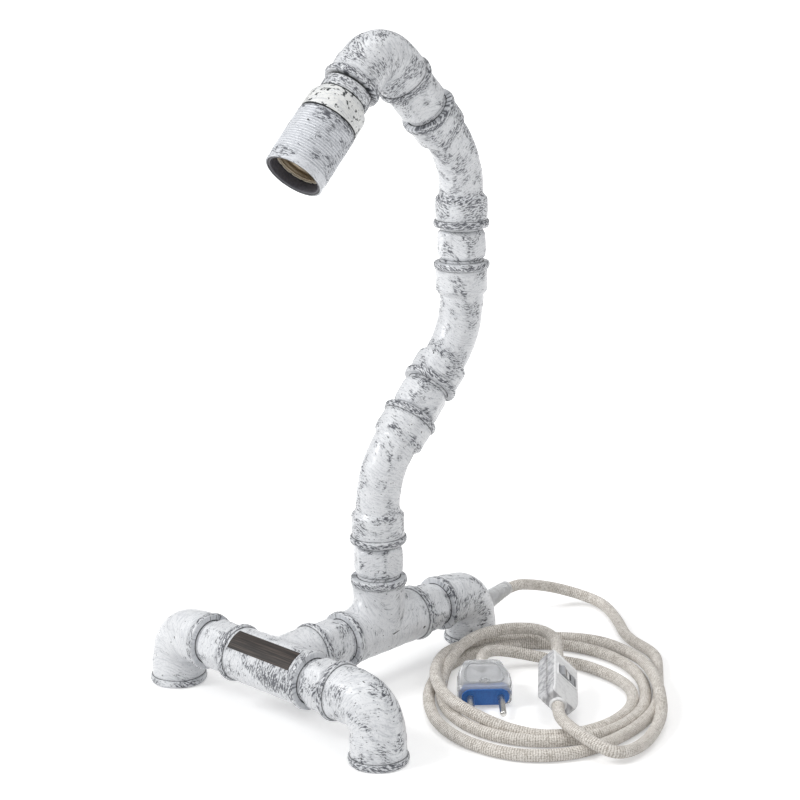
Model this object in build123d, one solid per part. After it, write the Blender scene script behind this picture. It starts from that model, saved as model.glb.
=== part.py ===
from build123d import *
import os
from math import cos, pi, radians, sin, tan

# A table lamp screwed together from 3/4 inch malleable-iron pipe fittings, with a
# threaded-shell lamp holder, and a woven cord with an inline switch and a flat plug.
# Millimetres, +Z up. The origin is on the floor, half way between the outer feet in X and
# half way between the front and the rear feet in Y. The crossbar runs along X at the front
# (-Y), the arm runs back along +Y, and the neck bends back, then forward over the front.

# Fittings
MOUTH = 33.0  # centre of an elbow or tee to each of its mouths
BEND_MOUTH = 43.5  # corner of a 45 degree bend to each of its mouths
BEAD_R = 17.5
BEAD_LENGTH = 4.6
SOCKET_R = 16.2
SOCKET_LENGTH, SHOULDER = 13.8, 3.4
BEND_SOCKET_LENGTH, BEND_SHOULDER = 17.5, 4.0
BODY_R = 15.6  # elbows and tees, between their sockets
BODY_BORE_R = 12.0
TUBE_R = 13.6  # 45 degree bends, between their sockets
TUBE_BORE_R = 10.4
ELBOW_RADIUS = 17.0  # centre line of a 90 degree elbow
THREAD_R = 13.2
THREAD_DEPTH = 14.6
THREAD_PITCH = 1.8
THREAD_GROOVE = 0.9
SWIVEL_PLAY = 0.05  # radial, in the two joints that turn
NIPPLE_LENGTH = 47.0
NIPPLE_BORE_R = 9.6
HEX_ACROSS = 28.0
HEX_LENGTH, HEX_CHAMFER = 12.4, 2.0

# Gaps between the mouths that a hex nipple joins
LEFT_GAP = 23.5
RIGHT_GAP = 19.0
BRIDGE_GAP = 21.5
REAR_GAP = 18.5
STEM_GAP = 22.0
NECK_GAP = 21.5
HEAD_GAP = 23.5

# Label strip on the front tee
LABEL_HALF_LENGTH = 26.2
LABEL_LOW, LABEL_HIGH = 33.0, 78.0  # degrees up from the front of the tee
LABEL_THICKNESS = 0.4

# Lamp holder, along its axis from the mouth of the head elbow
RING_START, RING_END, RING_R = 1.4, 8.6, 15.2
CAP_START, CAP_END, CAP_R, CAP_NECK_R, CAP_WALL = 8.8, 25.4, 18.0, 14.3, 1.2
SHELL_START, SHELL_RIDGES_END, SHELL_END = 25.8, 59.4, 64.4
SHELL_R, SHELL_BORE_R, SHELL_PITCH, SHELL_GROOVE = 18.3, 16.9, 2.4, 0.55
LINER_START, LINER_END, LINER_R, LINER_BORE_R = 50.0, 64.0, 16.8, 15.3
CERAMIC_START, CERAMIC_FLOOR, CERAMIC_END, CERAMIC_R = 27.0, 36.4, 58.0, 15.2
SCALLOPS, SCALLOP_R, SCALLOP_DEPTH = 12, 1.3, 2.2  # round the edge of the ceramic's mouth
SCREW_SHELL_R, SCREW_SHELL_WALL = 13.3, 0.35  # inside radius for an E27 lamp cap
SCREW_SHELL_START, SCREW_SHELL_END = 38.0, 57.4
TUBE_THREAD_R, TUBE_PASSAGE_R = 5.0, 3.7  # M10 threaded tube

# Leads and cord
LEAD_R = 3.1
CORE_R = 1.0
CORD_R = 3.6
HEEL_ANGLE = 10.0  # the cord leaves the rear elbow this far up its round heel
GRIP_SEAT = 30.8  # from the centre of the elbow's bend to the grip's flat seat
GRIP_NECK = 7.6  # threaded neck that goes through the elbow's wall
GRIP_R, GRIP_TIP_R, GRIP_FLANGE, GRIP_LENGTH = 7.0, 4.6, 3.0, 24.0

# The coil beside the lamp: its own axes are turned about its centre
COIL_X, COIL_Y, COIL_TURN = 101.7, 35.6, 44.1
COIL_HEIGHT = 14.6

# Inline switch and plug
SWITCH_LENGTH, SWITCH_WIDTH, SWITCH_HEIGHT, SWITCH_WALL = 47.0, 20.5, 14.5, 1.3
SWITCH_BEVEL, SWITCH_CHAMFER = 5.0, 3.0  # at the ends of its top and of its underside
ROCKER_LENGTH, ROCKER_WIDTH, ROCKER_PIVOT = 14.0, 9.6, 3.4
ROCKER_GAP = 0.4  # around the rocker in its window
ROCKER_REST = 8.0  # degrees that the rocker is tipped at rest
PLUG_WIDTH, PLUG_BACK_WIDTH, PLUG_LENGTH, PLUG_HEIGHT = 33.0, 24.0, 33.5, 13.7
INSERT_WIDTH, INSERT_HEIGHT, INSERT_DEPTH = 28.5, 10.6, 6.0
PIN_R, PIN_LENGTH, PIN_INSIDE, PIN_HALF_SPACING = 2.0, 19.0, 11.0, 9.2

HALF_WIDTH = (4 * MOUTH + LEFT_GAP + RIGHT_GAP) / 2
HALF_DEPTH = (4 * MOUTH + BRIDGE_GAP + REAR_GAP) / 2
TEE_X = -HALF_WIDTH + 2 * MOUTH + LEFT_GAP
STEM_Y = -HALF_DEPTH + 2 * MOUTH + BRIDGE_GAP
BASE_Z = MOUTH

EAST, NORTH, UP = Vector(1, 0, 0), Vector(0, 1, 0), Vector(0, 0, 1)

os.makedirs("parts", exist_ok=True)


def save(name, shape):
    export_step(shape, f"parts/{name}.step")


def at(point, travel, side=None):
    """Location whose local Z is the travel direction and whose local Y is the side."""
    travel = Vector(*travel).normalized()
    if side is None:
        return Plane(Vector(*point), z_dir=travel).location
    across = Vector(*side).normalized().cross(travel)
    return Plane(Vector(*point), x_dir=across, z_dir=travel).location


def turned(points):
    """Solid turned about Z from an outline of (radius, height) points."""
    outline = []
    for radius, height in points:
        if not outline or (radius, height) != outline[-1]:
            outline.append((radius, height))
    face = make_face(Polyline(*[(r, 0, z) for r, z in outline], close=True))
    return revolve(face, Axis.Z)


def rounded_turned(points, radii):
    """Like turned, for an outline that starts and ends on the axis and has round corners."""
    rim = FilletPolyline(*[(r, 0, z) for r, z in points], radius=radii)
    back = Line((points[-1][0], 0, points[-1][1]), (points[0][0], 0, points[0][1]))
    return revolve(make_face(rim + back), Axis.Z)


def ring(outer, inner, start, end):
    return turned([(inner, start), (outer, start), (outer, end), (inner, end)])


# ---------------------------------------------------------------- fittings


def socket_outside(straight, body_r, socket_length=SOCKET_LENGTH, shoulder=SHOULDER):
    """Outside of a fitting's end, from its mouth at 0 inwards: bead, socket, shoulder, body."""
    points = [(0, 0), (BEAD_R, 0), (BEAD_R, BEAD_LENGTH), (SOCKET_R, BEAD_LENGTH)]
    radii = [1.3, 1.3, 0.6]
    if body_r < SOCKET_R:
        shoulder_end = min(socket_length + shoulder, straight - 0.2)
        points += [(SOCKET_R, socket_length), (body_r, shoulder_end)]
        radii += [0.4, 0.01]
    points += [(body_r, straight), (0, straight)]
    return rounded_turned(points, radii + [0.01])


def socket_inside(straight, bore_r):
    """Hollow of a fitting's end: a lead-in, the thread's wall and the passage behind it."""
    return turned(
        [
            (0, 0),
            (THREAD_R + 1.1, 0),
            (THREAD_R, 1.2),
            (THREAD_R, THREAD_DEPTH),
            (bore_r, THREAD_DEPTH + 1.2),
            (bore_r, straight),
            (0, straight),
        ]
    )


def bend(angle, mouth, tangent, body_r, bore_r, **socket):
    """Bend whose corner is the origin: it comes up the local Z axis and turns towards +Y."""
    radius = tangent / tan(radians(angle / 2))
    way_out = Vector(0, sin(radians(angle)), cos(radians(angle)))
    ends = [at((0, 0, -mouth), UP), at(way_out * mouth, -way_out)]
    pivot = Axis((0, radius, -tangent), (-1, 0, 0))
    start = Plane((0, 0, -tangent))
    outside = revolve(start * Circle(body_r), pivot, angle)
    inside = revolve(start * Circle(bore_r), pivot, angle)
    for end in ends:
        outside += end * socket_outside(mouth - tangent, body_r, **socket)
        inside += end * socket_inside(mouth - tangent, bore_r)
    return outside - inside


def elbow():
    return bend(90, MOUTH, ELBOW_RADIUS, BODY_R, BODY_BORE_R)


def neck_bend():
    tangent = BEND_MOUTH - BEND_SOCKET_LENGTH - BEND_SHOULDER - 0.4
    socket = {"socket_length": BEND_SOCKET_LENGTH, "shoulder": BEND_SHOULDER}
    return bend(45, BEND_MOUTH, tangent, TUBE_R, TUBE_BORE_R, **socket)


def tee():
    """Tee with its run along the local Z axis and its branch along +Y."""
    ends = [at((0, 0, -MOUTH), UP), at((0, 0, MOUTH), -UP), at((0, MOUTH, 0), -NORTH)]
    run_outside = socket_outside(MOUTH, SOCKET_R)
    run_inside = socket_inside(MOUTH, BODY_BORE_R)
    outsides = [run_outside, run_outside, socket_outside(MOUTH, BODY_R)]
    insides = [run_inside, run_inside, socket_inside(MOUTH, BODY_BORE_R - 0.5)]
    outside, inside = Part(), Part()
    for end, out_part, in_part in zip(ends, outsides, insides):
        outside += end * out_part
        inside += end * in_part
    return outside - inside


def hex_nipple(gap, play=0.0):
    """Hex nipple about the middle of the gap that it joins; its upper end may have play."""
    half_hex, half_gap, half = HEX_LENGTH / 2, gap / 2, NIPPLE_LENGTH / 2
    corner_r = HEX_ACROSS / 2 / cos(pi / 6)
    chamfer_r = HEX_ACROSS / 2 - 0.5
    prism = extrude(
        Plane((0, 0, -half_hex)) * RegularPolygon(HEX_ACROSS / 2, 6, major_radius=False), HEX_LENGTH
    )
    prism &= turned(
        [
            (0, -half_hex),
            (chamfer_r, -half_hex),
            (corner_r + 0.2, -half_hex + HEX_CHAMFER),
            (corner_r + 0.2, half_hex - HEX_CHAMFER),
            (chamfer_r, half_hex),
            (0, half_hex),
        ]
    )
    root_r = THREAD_R - THREAD_GROOVE

    def threaded_side(fit_r):
        ridges = int((half_gap - half_hex) / THREAD_PITCH)
        outline = [(root_r, half_hex)]
        for ridge in range(ridges):
            foot = half_hex + ridge * THREAD_PITCH
            outline += [(fit_r, foot + THREAD_PITCH / 2), (root_r, foot + THREAD_PITCH)]
        outline += [(root_r, half_gap - 0.4), (fit_r, half_gap), (fit_r, half - 1.4)]
        return outline + [(fit_r - 1.4, half)]

    upper = threaded_side(THREAD_R - play)
    lower = [(r, -z) for r, z in reversed(threaded_side(THREAD_R))]
    threads = turned([(0, -half)] + lower + upper + [(0, half)])
    return prism + threads - ring(NIPPLE_BORE_R, 0, -half, half)


def foot_positions():
    return {
        "left_foot_elbow": ((-HALF_WIDTH, -HALF_DEPTH, BASE_Z), EAST),
        "right_foot_elbow": ((HALF_WIDTH, -HALF_DEPTH, BASE_Z), -EAST),
        "rear_foot_elbow": ((TEE_X, HALF_DEPTH, BASE_Z), -NORTH),
    }


HEEL_OUT = Vector(0, cos(radians(HEEL_ANGLE)), sin(radians(HEEL_ANGLE)))
HEEL_CENTRE = Vector(TEE_X, HALF_DEPTH - ELBOW_RADIUS, BASE_Z - ELBOW_RADIUS)
HEEL = at(HEEL_CENTRE, HEEL_OUT)


def build_base():
    for name, (corner, mouth_way) in foot_positions().items():
        foot = at(corner, UP, mouth_way) * elbow()
        if name == "rear_foot_elbow":
            foot -= HEEL * ring(GRIP_R + 0.6, 0, GRIP_SEAT, GRIP_SEAT + 12)
            foot -= HEEL * ring(TUBE_THREAD_R, 0, GRIP_SEAT - 9, GRIP_SEAT)
        save(name, foot)

    save("front_tee", at((TEE_X, -HALF_DEPTH, BASE_Z), EAST, NORTH) * tee())
    save("stem_tee", at((TEE_X, STEM_Y, BASE_Z), NORTH, UP) * tee())

    left_middle = -HALF_WIDTH + MOUTH + LEFT_GAP / 2
    right_middle = HALF_WIDTH - MOUTH - RIGHT_GAP / 2
    bridge_middle = -HALF_DEPTH + MOUTH + BRIDGE_GAP / 2
    rear_middle = HALF_DEPTH - MOUTH - REAR_GAP / 2
    save("left_hex_nipple", at((left_middle, -HALF_DEPTH, BASE_Z), EAST) * hex_nipple(LEFT_GAP))
    save("right_hex_nipple", at((right_middle, -HALF_DEPTH, BASE_Z), EAST) * hex_nipple(RIGHT_GAP))
    save("bridge_hex_nipple", at((TEE_X, bridge_middle, BASE_Z), NORTH) * hex_nipple(BRIDGE_GAP))
    save("rear_hex_nipple", at((TEE_X, rear_middle, BASE_Z), NORTH) * hex_nipple(REAR_GAP))
    stem_middle = BASE_Z + MOUTH + STEM_GAP / 2
    save("stem_hex_nipple", at((TEE_X, STEM_Y, stem_middle), UP) * hex_nipple(STEM_GAP, SWIVEL_PLAY))

    strip = ring(SOCKET_R + LABEL_THICKNESS, SOCKET_R, -LABEL_HALF_LENGTH, LABEL_HALF_LENGTH)
    reach = 2 * SOCKET_R
    low, high = radians(LABEL_LOW), radians(LABEL_HIGH)
    wedge = make_face(
        Polyline(
            (0, 0),
            (reach * cos(low), reach * sin(low)),
            (reach * cos(high), reach * sin(high)),
            close=True,
        )
    )
    strip &= extrude(Plane((0, 0, -LABEL_HALF_LENGTH)) * wedge, 2 * LABEL_HALF_LENGTH)
    along_tee = Plane((TEE_X, -HALF_DEPTH, BASE_Z), x_dir=-NORTH, z_dir=-EAST)
    save("label_strip", along_tee.location * strip)

    grip = rounded_turned(
        [
            (0, GRIP_SEAT),
            (GRIP_R, GRIP_SEAT),
            (GRIP_R, GRIP_SEAT + GRIP_FLANGE),
            (GRIP_TIP_R, GRIP_SEAT + GRIP_LENGTH),
            (0, GRIP_SEAT + GRIP_LENGTH),
        ],
        [0.6, 2.0, 0.5],
    )
    grip += ring(TUBE_THREAD_R, 0, GRIP_SEAT - GRIP_NECK, GRIP_SEAT)
    grip -= ring(CORD_R, 0, GRIP_SEAT, GRIP_SEAT + GRIP_LENGTH)
    grip -= ring(LEAD_R, 0, GRIP_SEAT - GRIP_NECK, GRIP_SEAT)
    save("cord_grip", HEEL * grip)
    nut = Plane((0, 0, GRIP_SEAT - 7.4)) * RegularPolygon(6.5, 6, major_radius=False)
    nut = extrude(nut, 2.6) - ring(TUBE_THREAD_R, 0, GRIP_SEAT - 8, GRIP_SEAT)
    save("cord_grip_nut", HEEL * nut)


# ---------------------------------------------------------------- neck and head

LEAN_BACK = Vector(0, sin(pi / 4), cos(pi / 4))
LEAN_FORWARD = Vector(0, -sin(pi / 4), cos(pi / 4))
OUTLET = Vector(0, -sin(pi / 4), -cos(pi / 4))

STEM_TOP = Vector(TEE_X, STEM_Y, BASE_Z + MOUTH + STEM_GAP)
LOWER_CORNER = STEM_TOP + UP * BEND_MOUTH
MIDDLE_CORNER = LOWER_CORNER + LEAN_BACK * (2 * BEND_MOUTH + NECK_GAP)
UPPER_CORNER = MIDDLE_CORNER + UP * (2 * BEND_MOUTH + NECK_GAP)
HEAD_CORNER = UPPER_CORNER + LEAN_FORWARD * (BEND_MOUTH + HEAD_GAP + MOUTH)
HEAD_MOUTH = HEAD_CORNER - LEAN_FORWARD * MOUTH
HOLDER_START = HEAD_CORNER + OUTLET * MOUTH
HOLDER = at(HOLDER_START, OUTLET, -LEAN_FORWARD)


def build_neck():
    save("lower_neck_bend", at(LOWER_CORNER, UP, NORTH) * neck_bend())
    save("middle_neck_bend", at(MIDDLE_CORNER, LEAN_BACK, LEAN_FORWARD) * neck_bend())
    save("upper_neck_bend", at(UPPER_CORNER, UP, -NORTH) * neck_bend())
    halfway = BEND_MOUTH + NECK_GAP / 2
    save("lower_neck_nipple", at(LOWER_CORNER + LEAN_BACK * halfway, LEAN_BACK) * hex_nipple(NECK_GAP))
    save("upper_neck_nipple", at(MIDDLE_CORNER + UP * halfway, UP) * hex_nipple(NECK_GAP))
    head_middle = UPPER_CORNER + LEAN_FORWARD * (BEND_MOUTH + HEAD_GAP / 2)
    save("head_hex_nipple", at(head_middle, LEAN_FORWARD) * hex_nipple(HEAD_GAP, SWIVEL_PLAY))


def holder_cap():
    flange = 0.35 * (CAP_END - CAP_START)
    outside = rounded_turned(
        [
            (0, CAP_START),
            (CAP_NECK_R, CAP_START),
            (CAP_R, CAP_START + flange),
            (CAP_R, CAP_END),
            (0, CAP_END),
        ],
        [1.6, 3.0, 0.3],
    )
    inside = rounded_turned(
        [
            (0, CAP_START + 2 * CAP_WALL),
            (CAP_NECK_R - CAP_WALL, CAP_START + 2 * CAP_WALL),
            (CAP_R - CAP_WALL, CAP_START + flange + CAP_WALL),
            (CAP_R - CAP_WALL, CAP_END),
            (0, CAP_END),
        ],
        [0.6, 2.0, 0.01],
    )
    return outside - inside - ring(TUBE_THREAD_R, 0, CAP_START, CAP_END)


def holder_shell():
    root = SHELL_R - SHELL_GROOVE
    ridges = int((SHELL_RIDGES_END - SHELL_START) / SHELL_PITCH)
    outline = [(SHELL_BORE_R, SHELL_START), (root, SHELL_START)]
    for ridge in range(ridges):
        foot = SHELL_START + ridge * SHELL_PITCH
        outline += [
            (SHELL_R, foot + 0.35 * SHELL_PITCH),
            (SHELL_R, foot + 0.65 * SHELL_PITCH),
            (root, foot + SHELL_PITCH),
        ]
    outline += [(SHELL_R - 0.3, SHELL_RIDGES_END + 0.5), (SHELL_R - 0.3, SHELL_END)]
    return turned(outline + [(SHELL_BORE_R, SHELL_END)])


def ceramic():
    body = rounded_turned(
        [(0, CERAMIC_START), (CERAMIC_R, CERAMIC_START), (CERAMIC_R, CERAMIC_END), (0, CERAMIC_END)],
        [1.0, 0.8],
    )
    outer_wall = SCREW_SHELL_R + SCREW_SHELL_WALL
    body -= ring(outer_wall, 0, CERAMIC_FLOOR, CERAMIC_END)
    body -= ring(1.7, 0, CERAMIC_START, CERAMIC_FLOOR)
    for side in (-1, 1):
        body -= Pos(8.5 * side, 0, 0) * ring(1.5, 0, CERAMIC_START, CERAMIC_START + 5)
    scallop = Pos(CERAMIC_R, 0, 0) * ring(SCALLOP_R, 0, CERAMIC_END - SCALLOP_DEPTH, CERAMIC_END)
    for turn in range(SCALLOPS):
        body -= Rot(0, 0, 360 / SCALLOPS * turn) * scallop
    return body


def build_head():
    save("head_elbow", at(HEAD_CORNER, LEAN_FORWARD, OUTLET) * elbow())
    bush = turned(
        [
            (0, -13),
            (THREAD_R - 1.2, -13),
            (THREAD_R, -11.8),
            (THREAD_R, 0),
            (THREAD_R - THREAD_GROOVE, 0.5),
            (THREAD_R - THREAD_GROOVE, RING_START),
            (RING_R - 0.7, RING_START),
            (RING_R, RING_START + 0.7),
            (RING_R, RING_END - 0.7),
            (RING_R - 0.7, RING_END),
            (0, RING_END),
        ]
    )
    bush -= ring(TUBE_THREAD_R, 0, -13, RING_END)
    save("reducing_bush", HOLDER * bush)
    tube_end = CAP_START + 8.2
    save("threaded_tube", HOLDER * ring(TUBE_THREAD_R, TUBE_PASSAGE_R, -15, tube_end))
    nut_start = CAP_START + 2 * CAP_WALL
    nut = Plane((0, 0, nut_start)) * RegularPolygon(7.0, 6, major_radius=False)
    nut = extrude(nut, 3.0) - ring(TUBE_THREAD_R, 0, nut_start, nut_start + 3)
    save("cap_lock_nut", HOLDER * nut)
    save("holder_cap", HOLDER * holder_cap())
    save("holder_shell", HOLDER * holder_shell())
    liner = ring(LINER_R, LINER_BORE_R, LINER_START, LINER_END)
    save("holder_rim", HOLDER * liner)
    save("ceramic_insulator", HOLDER * ceramic())

    outer_wall = SCREW_SHELL_R + SCREW_SHELL_WALL
    screw_shell = ring(outer_wall, SCREW_SHELL_R, SCREW_SHELL_START, SCREW_SHELL_END)
    save("screw_shell", HOLDER * screw_shell)
    stem = ring(1.6, 0, CERAMIC_START - 1.5, CERAMIC_FLOOR)
    contact = stem + turned(
        [
            (0, CERAMIC_FLOOR),
            (4.5, CERAMIC_FLOOR),
            (4.5, CERAMIC_FLOOR + 0.6),
            (1.5, CERAMIC_FLOOR + 1.3),
            (0, CERAMIC_FLOOR + 1.3),
        ]
    )
    save("centre_contact", HOLDER * contact)
    screw = turned(
        [
            (0, CERAMIC_START + 4.5),
            (1.45, CERAMIC_START + 4.5),
            (1.45, CERAMIC_START),
            (2.8, CERAMIC_START),
            (2.8, CERAMIC_START - 1.8),
            (0, CERAMIC_START - 1.8),
        ]
    )
    slot = Pos(0, 0, CERAMIC_START - 1.5) * Box(6, 0.7, 1.0)
    screws = [Pos(8.5 * side, 0, 0) * (screw - slot) for side in (-1, 1)]
    save("terminal_screws", HOLDER * Compound(screws))


# ---------------------------------------------------------------- leads and cord


def bent_tube(points, radius, fixed=None):
    """Round tube along straight runs and tangent arcs; returns it with its arcs' radii.

    Each arc takes 0.45 of the shorter of its two runs, or the radius that fixed gives."""
    points = [Vector(*p) for p in points]
    radii = []
    for i, (a, b, c) in enumerate(zip(points, points[1:], points[2:])):
        turn = (b - a).get_angle(c - b)
        free = 0.45 * min((b - a).length, (c - b).length) / tan(radians(turn / 2))
        radii.append(fixed[i] if fixed else free)
    path = FilletPolyline(*points, radius=radii)
    start = Plane(points[0], z_dir=points[1] - points[0])
    tube = sweep(start * Circle(radius), path=path)
    return tube, path, radii


def build_leads():
    heel = [HEEL_CENTRE + HEEL_OUT * r for r in (GRIP_SEAT, 19.0)]
    turn_in = Vector(TEE_X, HEEL_CENTRE.Y - 5.0, BASE_Z - 2.0)
    arm = Vector(TEE_X, HEEL_CENTRE.Y - 30.0, BASE_Z)
    corner = Vector(TEE_X, STEM_Y, BASE_Z)
    base_lead, _, _ = bent_tube(
        heel + [turn_in, arm, corner, STEM_TOP], LEAD_R, fixed=[12.0, 40.0, 120.0, 24.0]
    )
    save("base_lead", base_lead)
    wide = (BEND_MOUTH - BEND_SOCKET_LENGTH - BEND_SHOULDER) / tan(radians(22.5))
    neck_lead, _, _ = bent_tube(
        [STEM_TOP, LOWER_CORNER, MIDDLE_CORNER, UPPER_CORNER, HEAD_MOUTH],
        LEAD_R,
        fixed=[wide, wide, wide],
    )
    save("neck_lead", neck_lead)
    lead_end = HOLDER_START + OUTLET * (CAP_START + 8.2)
    head_lead, _, _ = bent_tube([HEAD_MOUTH, HEAD_CORNER, lead_end], LEAD_R, fixed=[ELBOW_RADIUS])
    save("head_lead", head_lead)
    start, end = CAP_START + 8.2, CERAMIC_START - 1.8
    cores = []
    for side in (-1, 1):
        route = [
            (1.4 * side, 0, start),
            (1.4 * side, 0, start + 2.6),
            (8.5 * side, 0, start + 5.4),
            (8.5 * side, 0, end),
        ]
        core, _, _ = bent_tube(route, CORE_R, fixed=[1.3, 1.3])
        cores.append(core)
    save("holder_wires", HOLDER * Compound(cores))


def lay(across, away, height):
    """Point by the coil's own axes, from the coil's centre."""
    turn = radians(COIL_TURN)
    x = COIL_X + across * cos(turn) - away * sin(turn)
    return Vector(x, COIL_Y + across * sin(turn) + away * cos(turn), height)


def lay_way(across, away, height):
    return lay(across, away, height) - lay(0, 0, 0)


def coil_outline(reaches):
    """Closed smooth outline through points at even angles, each at its reach."""
    step = 2 * pi / len(reaches)
    points = [lay(r * cos(i * step), r * sin(i * step), 0) for i, r in enumerate(reaches)]
    return make_face(Spline(*points, periodic=True))


COIL_OUTSIDE = [77, 90, 104, 99, 88, 78, 72, 75, 84.5, 91.5, 94.5, 87]  # every 30 degrees
COIL_INSIDE = [54, 55, 67, 81, 76, 61, 52.5, 53.5, 53.5, 53, 51, 51.5]

SWITCH_CENTRE = lay(11.1, -9.0, 16.0)
SWITCH_YAW, SWITCH_PITCH, SWITCH_ROLL = radians(-4.5), radians(8.3), radians(46.0)
PLUG_FRONT = lay(-31.8, -8.0, 7.2)
PLUG_YAW, PLUG_PITCH = radians(1.5), radians(9.5)


def switch_axes():
    """Directions of the switch: along its length to the low end, across, and out of its top."""
    along = lay_way(sin(SWITCH_YAW), -cos(SWITCH_YAW), 0)
    across = lay_way(cos(SWITCH_YAW), sin(SWITCH_YAW), 0)
    low = along * cos(SWITCH_PITCH) - UP * sin(SWITCH_PITCH)
    top = UP * cos(SWITCH_PITCH) + along * sin(SWITCH_PITCH)
    rolled_across = across * cos(SWITCH_ROLL) - top * sin(SWITCH_ROLL)
    rolled_top = top * cos(SWITCH_ROLL) + across * sin(SWITCH_ROLL)
    return low, rolled_across, rolled_top


SWITCH_LOW, SWITCH_ACROSS, SWITCH_TOP = switch_axes()
SWITCH = Plane(SWITCH_CENTRE, x_dir=SWITCH_ACROSS, z_dir=SWITCH_TOP).location
SWITCH_LOW_END = SWITCH_CENTRE + SWITCH_LOW * (SWITCH_LENGTH / 2)
SWITCH_HIGH_END = SWITCH_CENTRE - SWITCH_LOW * (SWITCH_LENGTH / 2)
PLUG_LEVEL = lay_way(-sin(PLUG_YAW), cos(PLUG_YAW), 0)
PLUG_ACROSS = lay_way(cos(PLUG_YAW), sin(PLUG_YAW), 0)
PLUG_BACKWARD = PLUG_LEVEL * cos(PLUG_PITCH) + UP * sin(PLUG_PITCH)
PLUG_UP = UP * cos(PLUG_PITCH) - PLUG_LEVEL * sin(PLUG_PITCH)
PLUG = Plane(PLUG_FRONT, x_dir=PLUG_ACROSS, z_dir=PLUG_UP).location
PLUG_BACK = PLUG_FRONT + PLUG_BACKWARD * PLUG_LENGTH
CORD_START = HEEL_CENTRE + HEEL_OUT * GRIP_SEAT

LOW = CORD_R + 0.1
CORD_ROUTES = {
    "cord_tail": [
        CORD_START,
        CORD_START + HEEL_OUT * 28.0,
        Vector(2.6, 147.0, 21.0),
        Vector(3.2, 166.0, 14.4),
        Vector(9.5, 178.5, 9.4),
        Vector(21.5, 186.0, 5.6),
        Vector(36.5, 185.0, 4.0),
        Vector(61.0, 167.5, LOW),
        Vector(83.5, 147.0, LOW),
        lay(80.0, 66.0, LOW),
        lay(76.0, 38.0, LOW),
    ],
    "cord_to_switch": [
        lay(-47.5, 56.5, 12.5),
        lay(-34.0, 74.0, 14.5),
        lay(-16.0, 83.5, 15.0),
        lay(0.0, 84.5, 15.0),
        lay(10.5, 77.0, 15.2),
        lay(15.0, 64.0, 16.0),
        lay(15.6, 47.0, 17.6),
        SWITCH_HIGH_END,
    ],
    "cord_from_switch": [
        SWITCH_LOW_END,
        SWITCH_LOW_END + SWITCH_LOW * 10.0,
        lay(12.0, -55.0, 11.8),
        lay(20.0, -68.0, 12.2),
        lay(30.0, -79.5, 9.6),
        lay(42.5, -86.5, 5.6),
    ],
    "cord_to_plug": [
        lay(50.8, 29.3, LOW),
        lay(34.0, 48.5, LOW),
        lay(15.0, 55.5, 4.2),
        lay(-5.0, 58.0, 8.0),
        lay(-23.0, 54.0, 12.8),
        PLUG_BACK + PLUG_BACKWARD * 15.0,
        PLUG_BACK,
    ],
}


def build_cords():
    for name, route in CORD_ROUTES.items():
        tube, path, radii = bent_tube(route, CORD_R)
        expected = path.length * pi * CORD_R**2
        print(name, "length", round(path.length, 1), "radii", [round(r, 1) for r in radii])
        print(name, "volume", round(tube.volume), "expected", round(expected))
        save(name, tube)
    coil = extrude(coil_outline(COIL_OUTSIDE), COIL_HEIGHT)
    coil -= extrude(coil_outline(COIL_INSIDE), COIL_HEIGHT)
    save("cord_coil", coil)


def switch_block(margin):
    """The switch's block, or its hollow when a margin is given; its length is along local Y."""
    half, height = SWITCH_LENGTH / 2 - margin, SWITCH_HEIGHT / 2 - margin
    side = Polyline(
        (0, -half, -height + SWITCH_CHAMFER),
        (0, -half + SWITCH_CHAMFER, -height),
        (0, half - SWITCH_CHAMFER, -height),
        (0, half, -height + SWITCH_CHAMFER),
        (0, half, height - SWITCH_BEVEL),
        (0, half - SWITCH_BEVEL, height),
        (0, -half + SWITCH_BEVEL, height),
        (0, -half, height - SWITCH_BEVEL),
        close=True,
    )
    return extrude(make_face(side), SWITCH_WIDTH / 2 - margin, both=True)


def cylinder_along_y(radius, start, end):
    return Rot(-90, 0, 0) * ring(radius, 0, start, end)


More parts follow.
